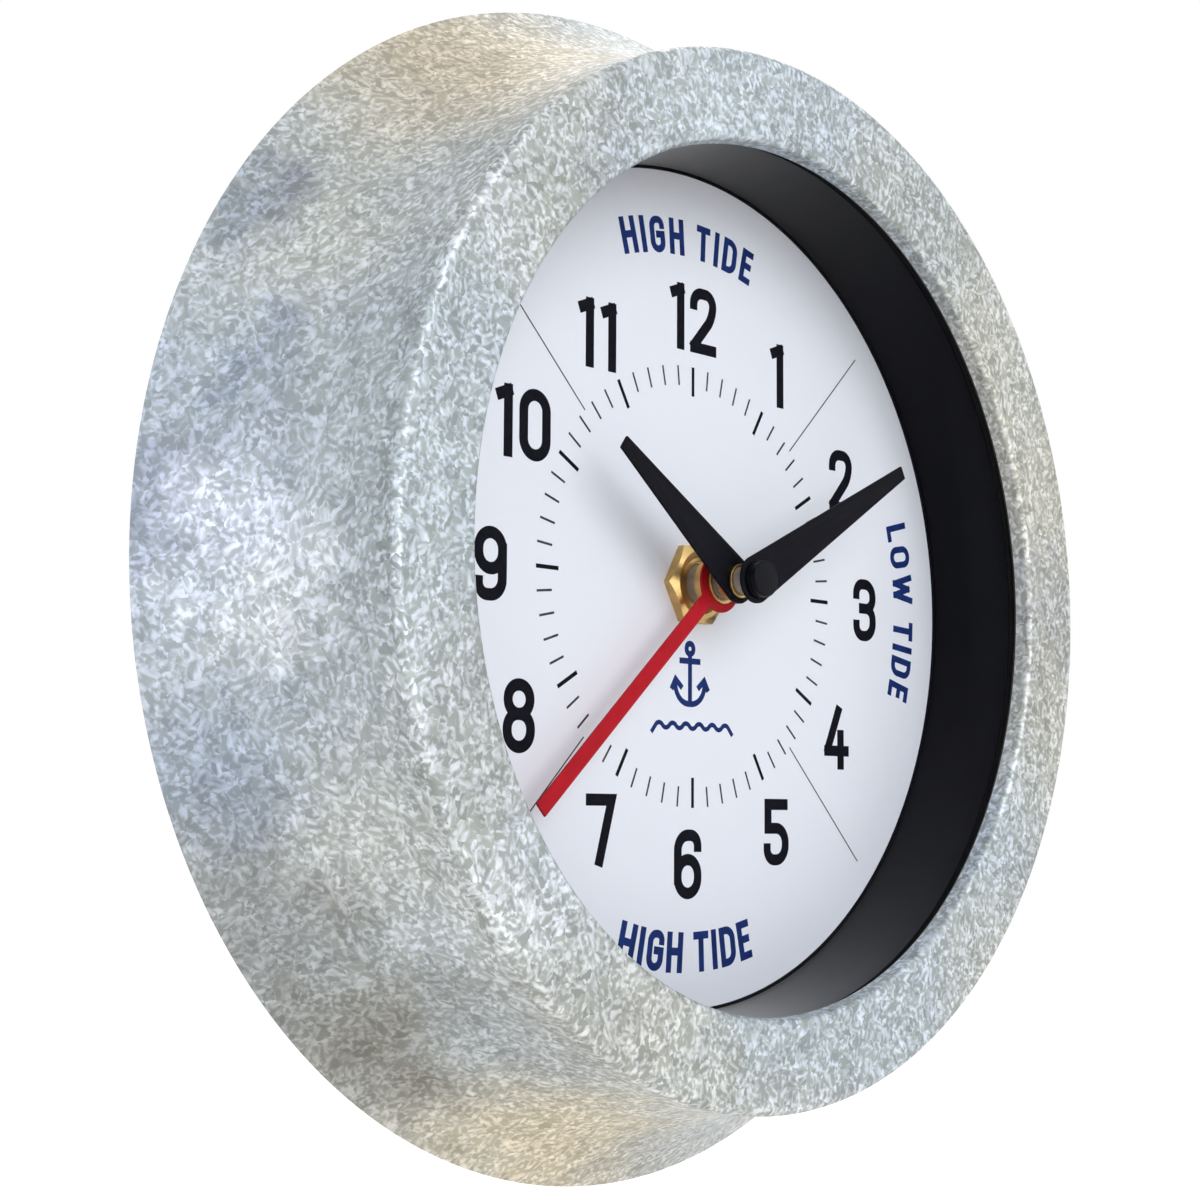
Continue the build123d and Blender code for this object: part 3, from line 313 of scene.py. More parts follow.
# Which finish each part of the frame gets
nodeFinish = {
    "galvanised": ["case_shell"],
    "zincPlate": ["case_studs", "stud_washers", "stud_nuts", "hanger_bracket", "hanger_screws",
                  "clutch_washer", "minute_shaft"],
    "rubber": ["lens_gasket", "rubber_washer"],
    "lensClear": ["lens"],
    "ringPlastic": ["inner_ring"],
    "capPlastic": ["minute_hand_cap"],
    "dialPaint": ["dial"],
    "casePlastic": ["dial_carrier", "movement_case", "movement_front_plate", "controller_chip"],
    "whitePlastic": ["train_plate", "coil_bobbin", "rotor_pinion", "fifth_wheel", "seconds_wheel",
                     "third_wheel", "reduction_wheel", "tide_idler", "time_setting_knob"],
    "greyPlastic": ["hour_wheel", "tide_wheel"],
    "redPlastic": ["tide_setting_knob"],
    "brass": ["threaded_bushing", "hex_nut", "centre_wheel", "cannon_pinion", "tide_hand_bush",
              "hour_hand_bush", "minute_hand_bush"],
    "sleeve": ["battery"],
    "nickel": ["battery_contact_positive", "battery_contact_negative", "quartz_crystal"],
    "board": ["circuit_board"],
    "copperWire": ["coil_winding"],
    "siliconSteel": ["coil_core", "stator"],
    "magnet": ["rotor_magnet"],
    "blackPaint": ["hour_hand", "minute_hand"],
    "redPaint": ["tide_hand"],
}
finishOf = {node: finish for finish, nodes in nodeFinish.items() for node in nodes}
bodyOf = {node: body for body, nodes in frame["record"]["behaviour"]["bodies"].items() for node in nodes}
for node, piece in frame["nodes"].items():
    piece.data.materials.clear()
    piece.data.materials.append(materials[finishOf[node]])


# Small helpers for meshes

weld = 0.5e-6  # corners nearer than this are one
easing = {"weld": 2e-6, "flatAngle": math.radians(0.5), "sharpAngle": math.radians(30), "segments": 2}


def rotation(degrees, axis):
    return Matrix.Rotation(math.radians(degrees), 4, axis)


def meshOf(bm, name):
    mesh = bpy.data.meshes.new(name)
    bm.to_mesh(mesh)
    bm.free()
    return mesh


def inScene(name, data):
    piece = bpy.data.objects.new(name, data)
    bpy.context.scene.collection.objects.link(piece)
    return piece


# The mesh of an object after its modifiers
def modified(piece):
    bpy.context.view_layer.update()
    return bpy.data.meshes.new_from_object(piece.evaluated_get(bpy.context.evaluated_depsgraph_get()))


# Adds a mesh to a bmesh and drops it
def absorb(bm, mesh):
    bm.from_mesh(mesh)
    bpy.data.meshes.remove(mesh)


def tidied(bm):
    bmesh.ops.remove_doubles(bm, verts=bm.verts, dist=weld)
    bmesh.ops.recalc_face_normals(bm, faces=bm.faces)
    return bm


def finishPiece(bm, name, body, finish, sharpAngle=35):
    mesh = meshOf(tidied(bm), name)
    mesh.shade_smooth()
    mesh.set_sharp_from_angle(angle=math.radians(sharpAngle))
    mesh.materials.append(materials[finish])
    piece = inScene(name, mesh)
    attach(piece, body)
    return piece


# A finished piece that stands for a node, on its body and with its finish
def standIn(bm, node, ending="finished", sharpAngle=35):
    piece = finishPiece(bm, node + "_" + ending, bodyOf[node], finishOf[node], sharpAngle)
    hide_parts(node)
    return piece


def arc(centre, radius, start, end, count):
    steps = [math.radians(start + (end - start) * step / count) for step in range(count + 1)]
    return [(centre[0] + radius * math.cos(a), centre[1] + radius * math.sin(a)) for a in steps]


# An outline of (radius, depth) corners, turned about the axis of the hands
def spun(outline, steps=288, closed=True):
    bm = bmesh.new()
    corners = [bm.verts.new((radius, -depth, 0)) for radius, depth in outline]
    pairs = list(zip(corners, corners[1:]))
    if closed:
        pairs.append((corners[-1], corners[0]))
    edges = [bm.edges.new(pair) for pair in pairs]
    bmesh.ops.spin(bm, geom=corners + edges, cent=(0, 0, 0), axis=(0, 1, 0), angle=2 * math.pi,
                   steps=steps, use_merge=True)
    return bm


# The same, laid along X on the middle line of a box
def spunAlong(low, high, outline, steps, closed=True):
    bm = spun(outline, steps, closed)
    place = Matrix.Translation((low.x, (low.y + high.y) / 2, (low.z + high.z) / 2))
    bmesh.ops.transform(bm, matrix=place @ rotation(90, "Z"), verts=bm.verts)
    return bm


def addBlock(bm, size, middle):
    made = bmesh.ops.create_cube(bm, size=1.0)["verts"]
    bmesh.ops.scale(bm, vec=size, verts=made)
    bmesh.ops.translate(bm, vec=middle, verts=made)
    return made


# Two bmeshes joined or cut by the Boolean modifier
def combined(base, tool, operation):
    pieces = [inScene("work", meshOf(tidied(bm), "work")) for bm in (base, tool)]
    cut = pieces[0].modifiers.new("cut", "BOOLEAN")
    cut.operation, cut.solver, cut.object = operation, "EXACT", pieces[1]
    result = bmesh.new()
    absorb(result, modified(pieces[0]))
    for piece in pieces:
        bpy.data.meshes.remove(piece.data)
    return result


# A node's own shape with its edges eased, which then stands for the node
def easedCopy(node, width):
    bm = bmesh.new()
    bm.from_mesh(frame["nodes"][node].data)
    bmesh.ops.remove_doubles(bm, verts=bm.verts, dist=easing["weld"])
    bmesh.ops.dissolve_limit(bm, angle_limit=easing["flatAngle"], verts=bm.verts, edges=bm.edges)
    edges = [edge for edge in bm.edges if edge.is_manifold and edge.calc_face_angle() > easing["sharpAngle"]]
    bmesh.ops.bevel(bm, geom=edges, offset=width, segments=easing["segments"], profile=0.5, affect="EDGES",
                    material=-1, clamp_overlap=True)
    return standIn(bm, node)


# Case shell

caseShell = {
    "sheet": 0.9 * mm, "flare": 16.4 * mm, "faceWidth": 16.4 * mm, "faceEdge": 2.9 * mm,
    "outerBend": 1.5 * mm, "lipBend": 1.2 * mm, "lipLength": 3.5 * mm, "coveSteps": 40, "bendSteps": 8,
    "roundSteps": 360,
}


def makeCaseShell(settings):
    low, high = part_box("case_shell")
    rim, depth, flare = high.x, -low.y, settings["flare"]
    face = rim - flare
    window = face - settings["faceWidth"]
    start = depth - settings["faceEdge"]
    coveRadius = (flare ** 2 + start ** 2) / (2 * flare)
    centre = (face + coveRadius, start)
    lipEnd = depth - settings["lipLength"]

    def side(inset):
        reach = coveRadius + inset
        sweep = math.degrees(math.asin(start / reach))
        outer, lip = settings["outerBend"], settings["lipBend"]
        return (arc(centre, reach, 180 + sweep, 180, settings["coveSteps"])
                + arc((face - outer, depth - outer), outer - inset, 0, 90, settings["bendSteps"])
                + arc((window + lip, depth - lip), lip - inset, 90, 180, settings["bendSteps"])
                + [(window + inset, lipEnd)])

    return standIn(spun(side(0) + side(settings["sheet"])[::-1], settings["roundSteps"]), "case_shell", "spun")


makeCaseShell(caseShell)
print("case shell made")

# Printed dial

numerals = {
    "height": 12.6 * mm, "width": 7.6 * mm, "oneWidth": 4.4 * mm, "stroke": 2.1 * mm, "gap": 1.4 * mm,
    "places": {"12": (0, 50.1), "11": (-26.0, 42.8), "10": (-44.3, 24.2), "9": (-51.6, -0.6),
               "8": (-44.6, -25.8), "7": (-24.4, -44.9), "6": (-1.3, -51.1), "5": (24.4, -45.3),
               "4": (43.5, -26.7), "3": (53.2, -0.6), "2": (45.4, 24.9), "1": (25.0, 43.3)},
}
legends = {
    "stroke": 1.35 * mm, "gap": 1.1 * mm, "space": 1.1 * mm, "cap": 7.0 * mm,
    "widths": {"H": 4.2, "I": 1.35, "G": 4.2, "T": 4.0, "D": 4.2, "E": 3.4, "L": 3.4, "O": 4.6, "W": 6.2},
    "lines": [  # words, middle bearing, baseline radius, letter height, tops towards the rim
        ("HIGH TIDE", -1.2, 61.7 * mm, 6.8 * mm, True), ("HIGH TIDE", 181.4, 70.6 * mm, 7.3 * mm, False),
        ("LOW TIDE", 90, 63.2 * mm, 6.8 * mm, True), ("LOW TIDE", 270, 63.2 * mm, 6.8 * mm, True)],
}
track = {
    "outer": 40.9 * mm, "minuteLength": 3.7 * mm, "hourLength": 5.5 * mm,
    "minuteWidth": 0.42 * mm, "hourWidth": 0.74 * mm,
    "tideLines": (45, 135.5, 225, 314.6), "tideStart": 40.8 * mm, "tideEnd": 71.6 * mm,
    "tideWidth": 0.26 * mm,
}
ink = {"sunk": 0.01 * mm, "proud": 0.02 * mm, "cornerSteps": 10, "halfSide": 0.499, "fullSide": 0.98}
inkDepth = ink["sunk"] + ink["proud"]

# Strokes of each sign: x and y go from -1 to 1 over its skeleton, then the roundness of the corner
signs = {
    "0": [("loop", (-1, 1, 1), (1, 1, 1), (1, -1, 1), (-1, -1, 1))],
    "1": [("line", (-0.75, 0.84, 0), (0.85, 0.98, 0)), ("line", (0.85, 1, 0), (0.85, -1, 0))],
    "2": [("line", (-1, 0.56, 0), (-1, 1, 1), (1, 1, 1), (1, 0.22, 2.2), (-0.92, -0.9, 0)),
          ("line", (-0.98, -1, 0), (1, -1, 0))],
    "3": [("line", (-1, 0.6, 0), (-1, 1, 1), (1, 1, 1), (1, 0.06, 0.8), (-0.3, 0.06, 0)),
          ("line", (-0.3, 0.06, 0), (1, 0.06, 0.8), (1, -1, 1), (-1, -1, 1), (-1, -0.6, 0))],
    "4": [("line", (0.25, 1, 0), (-1, -0.42, 0)), ("line", (-1.05, -0.5, 0), (1.1, -0.5, 0)),
          ("line", (0.5, 0.1, 0), (0.5, -1, 0))],
    "5": [("line", (0.9, 1, 0), (-0.9, 1, 0), (-0.9, 0.14, 0), (1, 0.14, 1), (1, -1, 1), (-1, -1, 1), (-1, -0.6, 0))],
    "6": [("loop", (-1, 0.16, 1), (1, 0.16, 1), (1, -1, 1), (-1, -1, 1)),
          ("line", (1, 0.62, 0), (1, 1, 1), (-1, 1, 1), (-1, -0.5, 0))],
    "7": [("line", (-1, 1, 0), (1, 1, 0), (-0.1, -1, 0))],
    "8": [("loop", (-0.94, 1, 1), (0.94, 1, 1), (0.94, 0.06, 0.9), (-0.94, 0.06, 0.9)),
          ("loop", (-1, 0.06, 0.9), (1, 0.06, 0.9), (1, -1, 1), (-1, -1, 1))],
    "9": [("loop", (-1, 1, 1), (1, 1, 1), (1, -0.16, 1), (-1, -0.16, 1)),
          ("line", (-1, -0.62, 0), (-1, -1, 1), (1, -1, 1), (1, 0.5, 0))],
    "H": [("line", (-1, -1, 0), (-1, 1, 0)), ("line", (1, -1, 0), (1, 1, 0)), ("line", (-1, 0.05, 0), (1, 0.05, 0))],
    "I": [("line", (0, -1, 0), (0, 1, 0))],
    "G": [("line", (1, 0.6, 0), (1, 1, 1), (-1, 1, 1), (-1, -1, 1), (1, -1, 1), (1, 0, 0), (0.2, 0, 0))],
    "T": [("line", (-1, 1, 0), (1, 1, 0)), ("line", (0, 1, 0), (0, -1, 0))],
    "D": [("loop", (-1, 1, 0), (1, 1, 1.2), (1, -1, 1.2), (-1, -1, 0))],
    "E": [("line", (1, 1, 0), (-1, 1, 0), (-1, -1, 0), (1, -1, 0)), ("line", (-1, 0.05, 0), (0.75, 0.05, 0))],
    "L": [("line", (-1, 1, 0), (-1, -1, 0), (1, -1, 0))],
    "O": [("loop", (-1, 1, 1), (1, 1, 1), (1, -1, 1), (-1, -1, 1))],
    "W": [("line", (-1, 1, 0), (-0.5, -0.95, 0)), ("line", (-0.5, -0.95, 0), (0, 0.7, 0)),
          ("line", (0, 0.7, 0), (0.5, -0.95, 0)), ("line", (0.5, -0.95, 0), (1, 1, 0))],
}
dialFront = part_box("dial")[0].y


# One stroke: a wire with rounded corners, drawn up into a wall as tall as the ink is thick.
# A bend takes up to almost half of a side, or almost all of it where the far corner is sharp.
def strokeWall(stroke, halfWidth, halfHeight, pen):
    kind, points = stroke[0], stroke[1:]
    bm = bmesh.new()
    corners = [bm.verts.new((x * halfWidth, y * halfHeight, 0)) for x, y, _ in points]
    pairs = list(zip(corners, corners[1:])) + ([(corners[-1], corners[0])] if kind == "loop" else [])
    for pair in pairs:
        bm.edges.new(pair)
    roundness = {corner: point[2] for corner, point in zip(corners, points)}
    bends = []
    for corner in filter(roundness.get, corners):
        arms = [(edge.other_vert(corner), edge.calc_length()) for edge in corner.link_edges]
        lines = [other.co - corner.co for other, _ in arms]
        reach = roundness[corner] * halfWidth / math.tan(lines[0].angle(lines[1]) / 2)
        room = [length * ink["halfSide" if roundness[other] else "fullSide"] for other, length in arms]
        bends.append((corner, min(reach, *room)))
    if kind == "line":
        for end, inner in ((corners[0], corners[1]), (corners[-1], corners[-2])):
            end.co += (end.co - inner.co).normalized() * pen / 2
    for corner, reach in bends:
        bmesh.ops.bevel(bm, geom=[corner], offset=reach, segments=ink["cornerSteps"], profile=0.5,
                        affect="VERTICES", material=-1)
    walls = bmesh.ops.extrude_edge_only(bm, edges=bm.edges[:])["geom"]
    top = [item for item in walls if isinstance(item, bmesh.types.BMVert)]
    bmesh.ops.translate(bm, vec=(0, 0, inkDepth), verts=top)
    bmesh.ops.recalc_face_normals(bm, faces=bm.faces)
    return bm


# A whole sign: its strokes thickened to the pen and joined into one thin solid in the XY plane
def signMesh(strokes, width, height, pen):
    pieces = []
    for stroke in strokes:
        bm = strokeWall(stroke, (width - pen) / 2, (height - pen) / 2, pen)
        piece = inScene("stroke", meshOf(bm, "stroke"))
        wall = piece.modifiers.new("pen", "SOLIDIFY")
        wall.thickness, wall.offset, wall.use_even_offset = pen, 0, True
        pieces.append(piece)
    for other in pieces[1:]:
        union = pieces[0].modifiers.new("union", "BOOLEAN")
        union.operation, union.solver, union.object = "UNION", "EXACT", other
    joined = modified(pieces[0])
    for piece in pieces:
        bpy.data.meshes.remove(piece.data)
    return joined


# From the XY plane to the front of the dial
def dialPlace(x, z, turn=0.0):
    return Matrix.Translation((x, dialFront + ink["sunk"], z)) @ rotation(90, "X") @ rotation(turn, "Z")


# One bmesh with a mesh copied to each place
def copied(meshes, places):
    bm = bmesh.new()
    for mesh, place in zip(meshes, places):
        copy = mesh.copy()
        copy.transform(place)
        absorb(bm, copy)
    return bm


def printed(name, placed, finish):
    return finishPiece(copied(*zip(*placed)), name, "case", finish)


def makeNumerals(settings):
    widths = {digit: settings["oneWidth" if digit == "1" else "width"] for digit in "0123456789"}
    meshes = {digit: signMesh(signs[digit], width, settings["height"], settings["stroke"])
              for digit, width in widths.items()}
    placed = []
    for text, (x, z) in settings["places"].items():
        left = x * mm - (sum(widths[digit] for digit in text) + settings["gap"] * (len(text) - 1)) / 2
        for digit in text:
            placed.append((meshes[digit], dialPlace(left + widths[digit] / 2, z * mm)))
            left += widths[digit] + settings["gap"]
    return printed("dial_numerals", placed, "blackInk")


def makeLegends(settings):
    placed, meshes = [], {}
    for words, bearing, baseline, height, outward in settings["lines"]:
        scale = height / settings["cap"]
        widths = [settings["space"] if letter == " " else settings["widths"][letter] * mm for letter in words]
        total = (sum(widths) + settings["gap"] * (len(words) - 1)) * scale
        middle = baseline + height / 2 if outward else baseline - height / 2
        along = -total / 2
        for letter, width in zip(words, widths):
            if letter != " ":
                key = (letter, height)
                if key not in meshes:
                    meshes[key] = signMesh(signs[letter], width * scale, height, settings["stroke"] * scale)
                step = math.degrees((along + width * scale / 2) / baseline)
                angle = bearing + step if outward else bearing - step
                x, z = middle * math.sin(math.radians(angle)), middle * math.cos(math.radians(angle))
                placed.append((meshes[key], dialPlace(x, z, -angle if outward else 180 - angle)))
            along += (width + settings["gap"]) * scale
    return printed("dial_legends", placed, "blueInk")


# A plain anchor, and waves on the line below it
ornaments = {
    "anchorPlace": (-0.75 * mm, -16.4 * mm), "anchorSize": (10.6 * mm, 12.2 * mm), "anchorPen": 1.1 * mm,
    "anchor": [("loop", (-0.2, 1, 0.19), (0.2, 1, 0.19), (0.2, 0.66, 0.19), (-0.2, 0.66, 0.19)),
               ("line", (0, 0.62, 0), (0, -0.95, 0)), ("line", (-0.5, 0.42, 0), (0.5, 0.42, 0)),
               ("line", (-0.86, -0.32, 0), (-0.86, -1, 0.86), (0.86, -1, 0.86), (0.86, -0.32, 0)),
               ("line", (-1.02, -0.46, 0), (-0.84, -0.2, 0), (-0.54, -0.42, 0)),
               ("line", (1.02, -0.46, 0), (0.84, -0.2, 0), (0.54, -0.42, 0))],
    "wavePlace": (0.0, -26.0 * mm), "waveSize": (23.0 * mm, 3.0 * mm), "wavePen": 0.85 * mm, "crests": 6,
    "waveRoundness": 0.13,
}


def makeOrnaments(settings):
    anchor = signMesh(settings["anchor"], *settings["anchorSize"], settings["anchorPen"])
    turns = 2 * settings["crests"]
    wave = [(-1 + 2 * step / turns, 1 if step % 2 else -1, 0 if step in (0, turns) else settings["waveRoundness"])
            for step in range(turns + 1)]
    waves = signMesh([("line", *wave)], *settings["waveSize"], settings["wavePen"])
    placed = [(anchor, dialPlace(*settings["anchorPlace"])), (waves, dialPlace(*settings["wavePlace"]))]
    return printed("dial_ornaments", placed, "blueInk")


def bars(name, rows, finish):
    bm = bmesh.new()
    middle = dialFront + ink["sunk"] - inkDepth / 2
    for bearing, start, end, width in rows:
        made = addBlock(bm, (width, inkDepth, end - start), (0, middle, (start + end) / 2))
        bmesh.ops.rotate(bm, cent=(0, 0, 0), matrix=rotation(bearing, "Y"), verts=made)
    return finishPiece(bm, name, "case", finish)


def makeTrack(settings):
    outer = settings["outer"]
    hours = [(hour * 30, outer - settings["hourLength"], outer, settings["hourWidth"]) for hour in range(12)]
    minutes = [(minute * 6, outer - settings["minuteLength"], outer, settings["minuteWidth"])
               for minute in range(60) if minute % 5]
    tides = [(bearing, settings["tideStart"], settings["tideEnd"], settings["tideWidth"])
             for bearing in settings["tideLines"]]
    bars("dial_hour_marks", hours, "blackInk")
    bars("dial_minute_marks", minutes, "greyInk")
    bars("dial_tide_lines", tides, "greyInk")


makeNumerals(numerals)
makeLegends(legends)
makeOrnaments(ornaments)
makeTrack(track)
print("dial printed")

# Inner ring and lens, turned smooth, and the hands with eased edges
ringShape = {"inner": 77.7 * mm, "draft": 0.5 * mm, "flangeWidth": 1.8 * mm, "flangeThickness": 1.4 * mm,
             "lensPlay": 0.1 * mm, "ease": 0.2 * mm, "footHeight": 0.4 * mm, "footReach": 0.55 * mm}
lensEase = 0.2 * mm


# The lip at the ring's foot gives the dark line around the dial
def makeInnerRing(settings):
    low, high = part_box("inner_ring")
    foot, front, flange = -high.y, -low.y, high.x
    wallOuter, flangeTop = flange - settings["flangeWidth"], foot + settings["flangeThickness"]
    seat, seatRadius = -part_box("lens")[1].y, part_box("lens")[1].x + settings["lensPlay"]
    inner, mouth, ease = settings["inner"], settings["inner"] + settings["draft"], settings["ease"]
    lipTop, lipInner = foot + settings["footHeight"], inner - settings["footReach"]
    outline = [(lipInner, foot), (flange, foot), (flange, flangeTop), (wallOuter, flangeTop), (wallOuter, front),
               (seatRadius, front), (seatRadius, seat), (mouth + ease, seat), (mouth, seat - ease),
               (inner, lipTop), (lipInner, lipTop)]
    ring = standIn(spun(outline), "inner_ring", "turned")
    ring.data.materials.append(materials["blackPaint"])
    for face in ring.data.polygons:
        middle = face.center
        if -middle.y < lipTop + weld and math.hypot(middle.x, middle.z) < inner:
            face.material_index = 1
    return ring


def makeLens(ease):
    low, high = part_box("lens")
    back, front, radius = -high.y, -low.y, high.x
    outline = [(0, back), (radius - ease, back), (radius, back + ease), (radius, front - ease),
               (radius - ease, front), (0, front)]
    return standIn(spun(outline, closed=False), "lens", "ground")


makeInnerRing(ringShape)
makeLens(lensEase)
handEase = 0.12 * mm
for node in ("tide_hand", "hour_hand", "minute_hand"):
    easedCopy(node, handEase)


hub = {
    "nutFlat": 7.0 * mm, "nutFront": 6.3 * mm, "nutSlope": 30, "threadRadius": 5.0 * mm, "lead": 0.45 * mm,
    "spare": 1.0 * mm, "nutSteps": 192, "nutSharp": 20,
    "collarRadius": 4.35 * mm, "collarBack": 22.9 * mm, "tubeRadius": 3.7 * mm, "collarEase": 0.15 * mm,
}


# The nut's corners are turned off at its front, and its thread has a lead
def makeHexNut(settings):
    low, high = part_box("hex_nut")
    back, front, corner = -high.y, -low.y, settings["nutFlat"] / math.cos(math.pi / 6)
    hexagon = bmesh.new()
    bmesh.ops.create_cone(hexagon, cap_ends=True, segments=6, radius1=corner, radius2=corner, depth=front - back)
    turn = rotation(90, "X") @ rotation(30, "Z")
    bmesh.ops.transform(hexagon, matrix=Matrix.Translation((0, -(front + back) / 2, 0)) @ turn, verts=hexagon.verts)
    thread, lead, spare, nutFront = (settings[key] for key in ("threadRadius", "lead", "spare", "nutFront"))
    drop = (corner + spare - nutFront) * math.tan(math.radians(settings["nutSlope"]))
    blank = spun([(thread + lead, front), (thread, front - lead), (thread, back - spare),
                  (corner + spare, back - spare), (corner + spare, front - drop), (nutFront, front)],
                 settings["nutSteps"])
    return standIn(combined(hexagon, blank, "INTERSECT"), "hex_nut", sharpAngle=settings["nutSharp"])


# The tide hand's collar reaches back over the tube, so its gold edge shows beside the red hub
def makeTideCollar(settings):
    hubBack = -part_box("tide_hand")[1].y
    back, outer, ease = settings["collarBack"], settings["collarRadius"], settings["collarEase"]
    inner = settings["tubeRadius"]
    collar = spun([(inner, back), (outer - ease, back), (outer, back + ease), (outer, hubBack), (inner, hubBack)])
    return finishPiece(collar, "tide_collar", "tide_arbor", "brass")


capShape = {
    "groove": 0.8 * mm, "grooveWidth": 0.25 * mm, "grooveDepth": 0.25 * mm, "grooveSlope": 0.05 * mm,
    "taper": 0.15 * mm, "ease": 0.3 * mm, "easeSteps": 4,
}


# Pressed cap with a groove round its side
def makeCap(settings):
    low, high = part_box("minute_hand_cap")
    back, front, radius = -high.y, -low.y, high.x
    start, slope = back + settings["groove"], settings["grooveSlope"]
    end, sunk = start + settings["grooveWidth"], radius - settings["grooveDepth"]
    face, ease = radius - settings["taper"], settings["ease"]
    outline = [(0, back), (radius, back), (radius, start), (sunk, start + slope), (sunk, end - slope), (face, end),
               *arc((face - ease, front - ease), ease, 0, 90, settings["easeSteps"]), (0, front)]
    return standIn(spun(outline, closed=False), "minute_hand_cap", "turned")


bushEase = 0.08 * mm
for node in ("tide_hand_bush", "hour_hand_bush", "minute_hand_bush", "threaded_bushing"):
    easedCopy(node, bushEase)
makeHexNut(hub)
makeTideCollar(hub)
makeCap(capShape)
print("hands and hub made")


# Back of the clock

fasteners = {
    "studRadius": 1.5 * mm, "studThread": 0.18 * mm, "studPitch": 0.5 * mm,
    "shankRadius": 1.4 * mm, "screwThread": 0.25 * mm, "screwPitch": 0.8 * mm,
    "coreSteps": 32, "turnSteps": 16, "ridgeSunk": 0.02 * mm, "ridgeTop": 0.4, "ridgeWidth": 0.8,
    "headRadius": 2.6 * mm, "headHeight": 1.4 * mm, "headSteps": 48,
    "headProfile": [(0, 0), (0.45, 0.02 * mm), (0.85, 0.3 * mm), (1, 0.8 * mm)],  # share of the radius, depth
    "crossWidth": 0.75 * mm, "crossSpan": 2.9 * mm, "crossDepth": 0.9 * mm, "join": 0.1 * mm,
}


# A threaded rod from one depth to another: a plain core and a ridge that climbs round it
def threadedRod(radius, thread, pitch, start, end):
    core = radius - thread
    bm = spun([(0, start), (core - thread, start), (core, start + thread), (core, end - thread),
               (core - thread, end), (0, end)], fasteners["coreSteps"], closed=False)
    foot, sunk, steps = start + thread, core - fasteners["ridgeSunk"], fasteners["turnSteps"]
    profile = ((sunk, foot), (radius, foot + pitch * fasteners["ridgeTop"]),
               (sunk, foot + pitch * fasteners["ridgeWidth"]))
    corners = [bm.verts.new((r, -d, 0)) for r, d in profile]
    ridge = bm.faces.new(corners)
    turns = int((end - start - 2 * thread - pitch) / pitch)
    bmesh.ops.spin(bm, geom=corners + ridge.edges[:] + [ridge], cent=(0, 0, 0), axis=(0, 1, 0),
                   dvec=(0, -pitch / steps, 0), angle=2 * math.pi * turns, steps=turns * steps)
    return bm


def spread(bm, places):
    mesh = meshOf(bm, "work")
    result = copied([mesh] * len(places), [Matrix.Translation((x, 0, z)) for x, z in places])
    bpy.data.meshes.remove(mesh)
    return result


def makeStuds(settings):
    low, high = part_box("case_studs")
    reach = high.x - settings["studRadius"]
    rod = threadedRod(settings["studRadius"], settings["studThread"], settings["studPitch"], -high.y, -low.y)
    places = [(x, z) for x in (-reach, reach) for z in (-reach, reach)]
    return standIn(spread(rod, places), "case_studs", "threaded")


def makeHangerScrews(settings):
    low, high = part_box("hanger_screws")
    top, tip, head = -high.y, -low.y, settings["headRadius"]
    seat = top + settings["headHeight"]
    pan = [(head * share, top + depth) for share, depth in settings["headProfile"]]
    screw = spun(pan + [(head, seat), (0, seat)], settings["headSteps"], closed=False)
    width, span, depth = settings["crossWidth"], settings["crossSpan"], 2 * settings["crossDepth"]
    for size in ((span, depth, width), (width, depth, span)):
        slot = bmesh.new()
        addBlock(slot, size, (0, -top, 0))
        screw = combined(screw, slot, "DIFFERENCE")
    rod = threadedRod(settings["shankRadius"], settings["screwThread"], settings["screwPitch"],
                      seat - settings["join"], tip)
    absorb(screw, meshOf(rod, "work"))
    middle = (low.z + high.z) / 2
    rise, side = (high.z - low.z) / 2 - head, high.x - head
    places = [(x, middle + z) for x in (-side, side) for z in (-rise, rise)]
    return standIn(spread(screw, places), "hanger_screws")


battery = {
    "nubRadius": 2.75 * mm, "nubLength": 1.0 * mm, "shoulder": 5.4 * mm, "ease": 0.5 * mm, "lip": 0.25 * mm,
    "groove": 0.1 * mm, "steps": 96,
}


def makeBattery(settings):
    low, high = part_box("battery")
    radius, length = (high.y - low.y) / 2, high.x - low.x
    nub, start, ease, lip = settings["nubRadius"], settings["nubLength"], settings["ease"], settings["lip"]
    shoulder = settings["shoulder"]
    outline = [(0, 0), (nub - lip, 0), (nub, lip), (nub, start), (shoulder, start + settings["groove"]),
               (shoulder + lip, start), (radius - ease, start), (radius, start + ease),
               (radius, length - ease), (radius - ease, length), (shoulder + lip, length),
               (shoulder, length - lip), (0, length - lip)]
    piece = standIn(spunAlong(low, high, outline, settings["steps"], closed=False), "battery")
    piece.data.materials.append(materials["nickel"])
    middle = (low + high) / 2
    for face in piece.data.polygons:
        if math.hypot(face.center.y - middle.y, face.center.z - middle.z) < shoulder:
            face.material_index = 1
    return piece


coil = {"wires": 44, "core": 1.2 * mm, "wireBend": 80, "wireSteps": 4, "steps": 48, "sharp": 60}


# The winding shows its turns
def makeWinding(settings):
    low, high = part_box("coil_winding")
    radius, length = (high.y - low.y) / 2, high.x - low.x
    wire, bend = length / settings["wires"], settings["wireBend"]
    outline = [(settings["core"], 0), (radius - wire / 2, 0)]
    for turn in range(settings["wires"]):
        middle = (radius - wire / 2, wire * (turn + 0.5))
        outline += arc(middle, wire / 2, -bend, bend, settings["wireSteps"])
    outline += [(radius - wire / 2, length), (settings["core"], length)]
    winding = spunAlong(low, high, outline, settings["steps"])
    return standIn(winding, "coil_winding", "turns", settings["sharp"])


marks = {
    "pen": 0.5 * mm, "signSize": 3.0 * mm, "signHeight": -8.3 * mm, "signReach": 23.0 * mm, "arrowSpread": 0.7,
    "arrowRadius": 6.4 * mm, "arrowHead": 1.5 * mm, "arrowStart": -65, "arrowEnd": 40, "arrowSteps": 14,
}


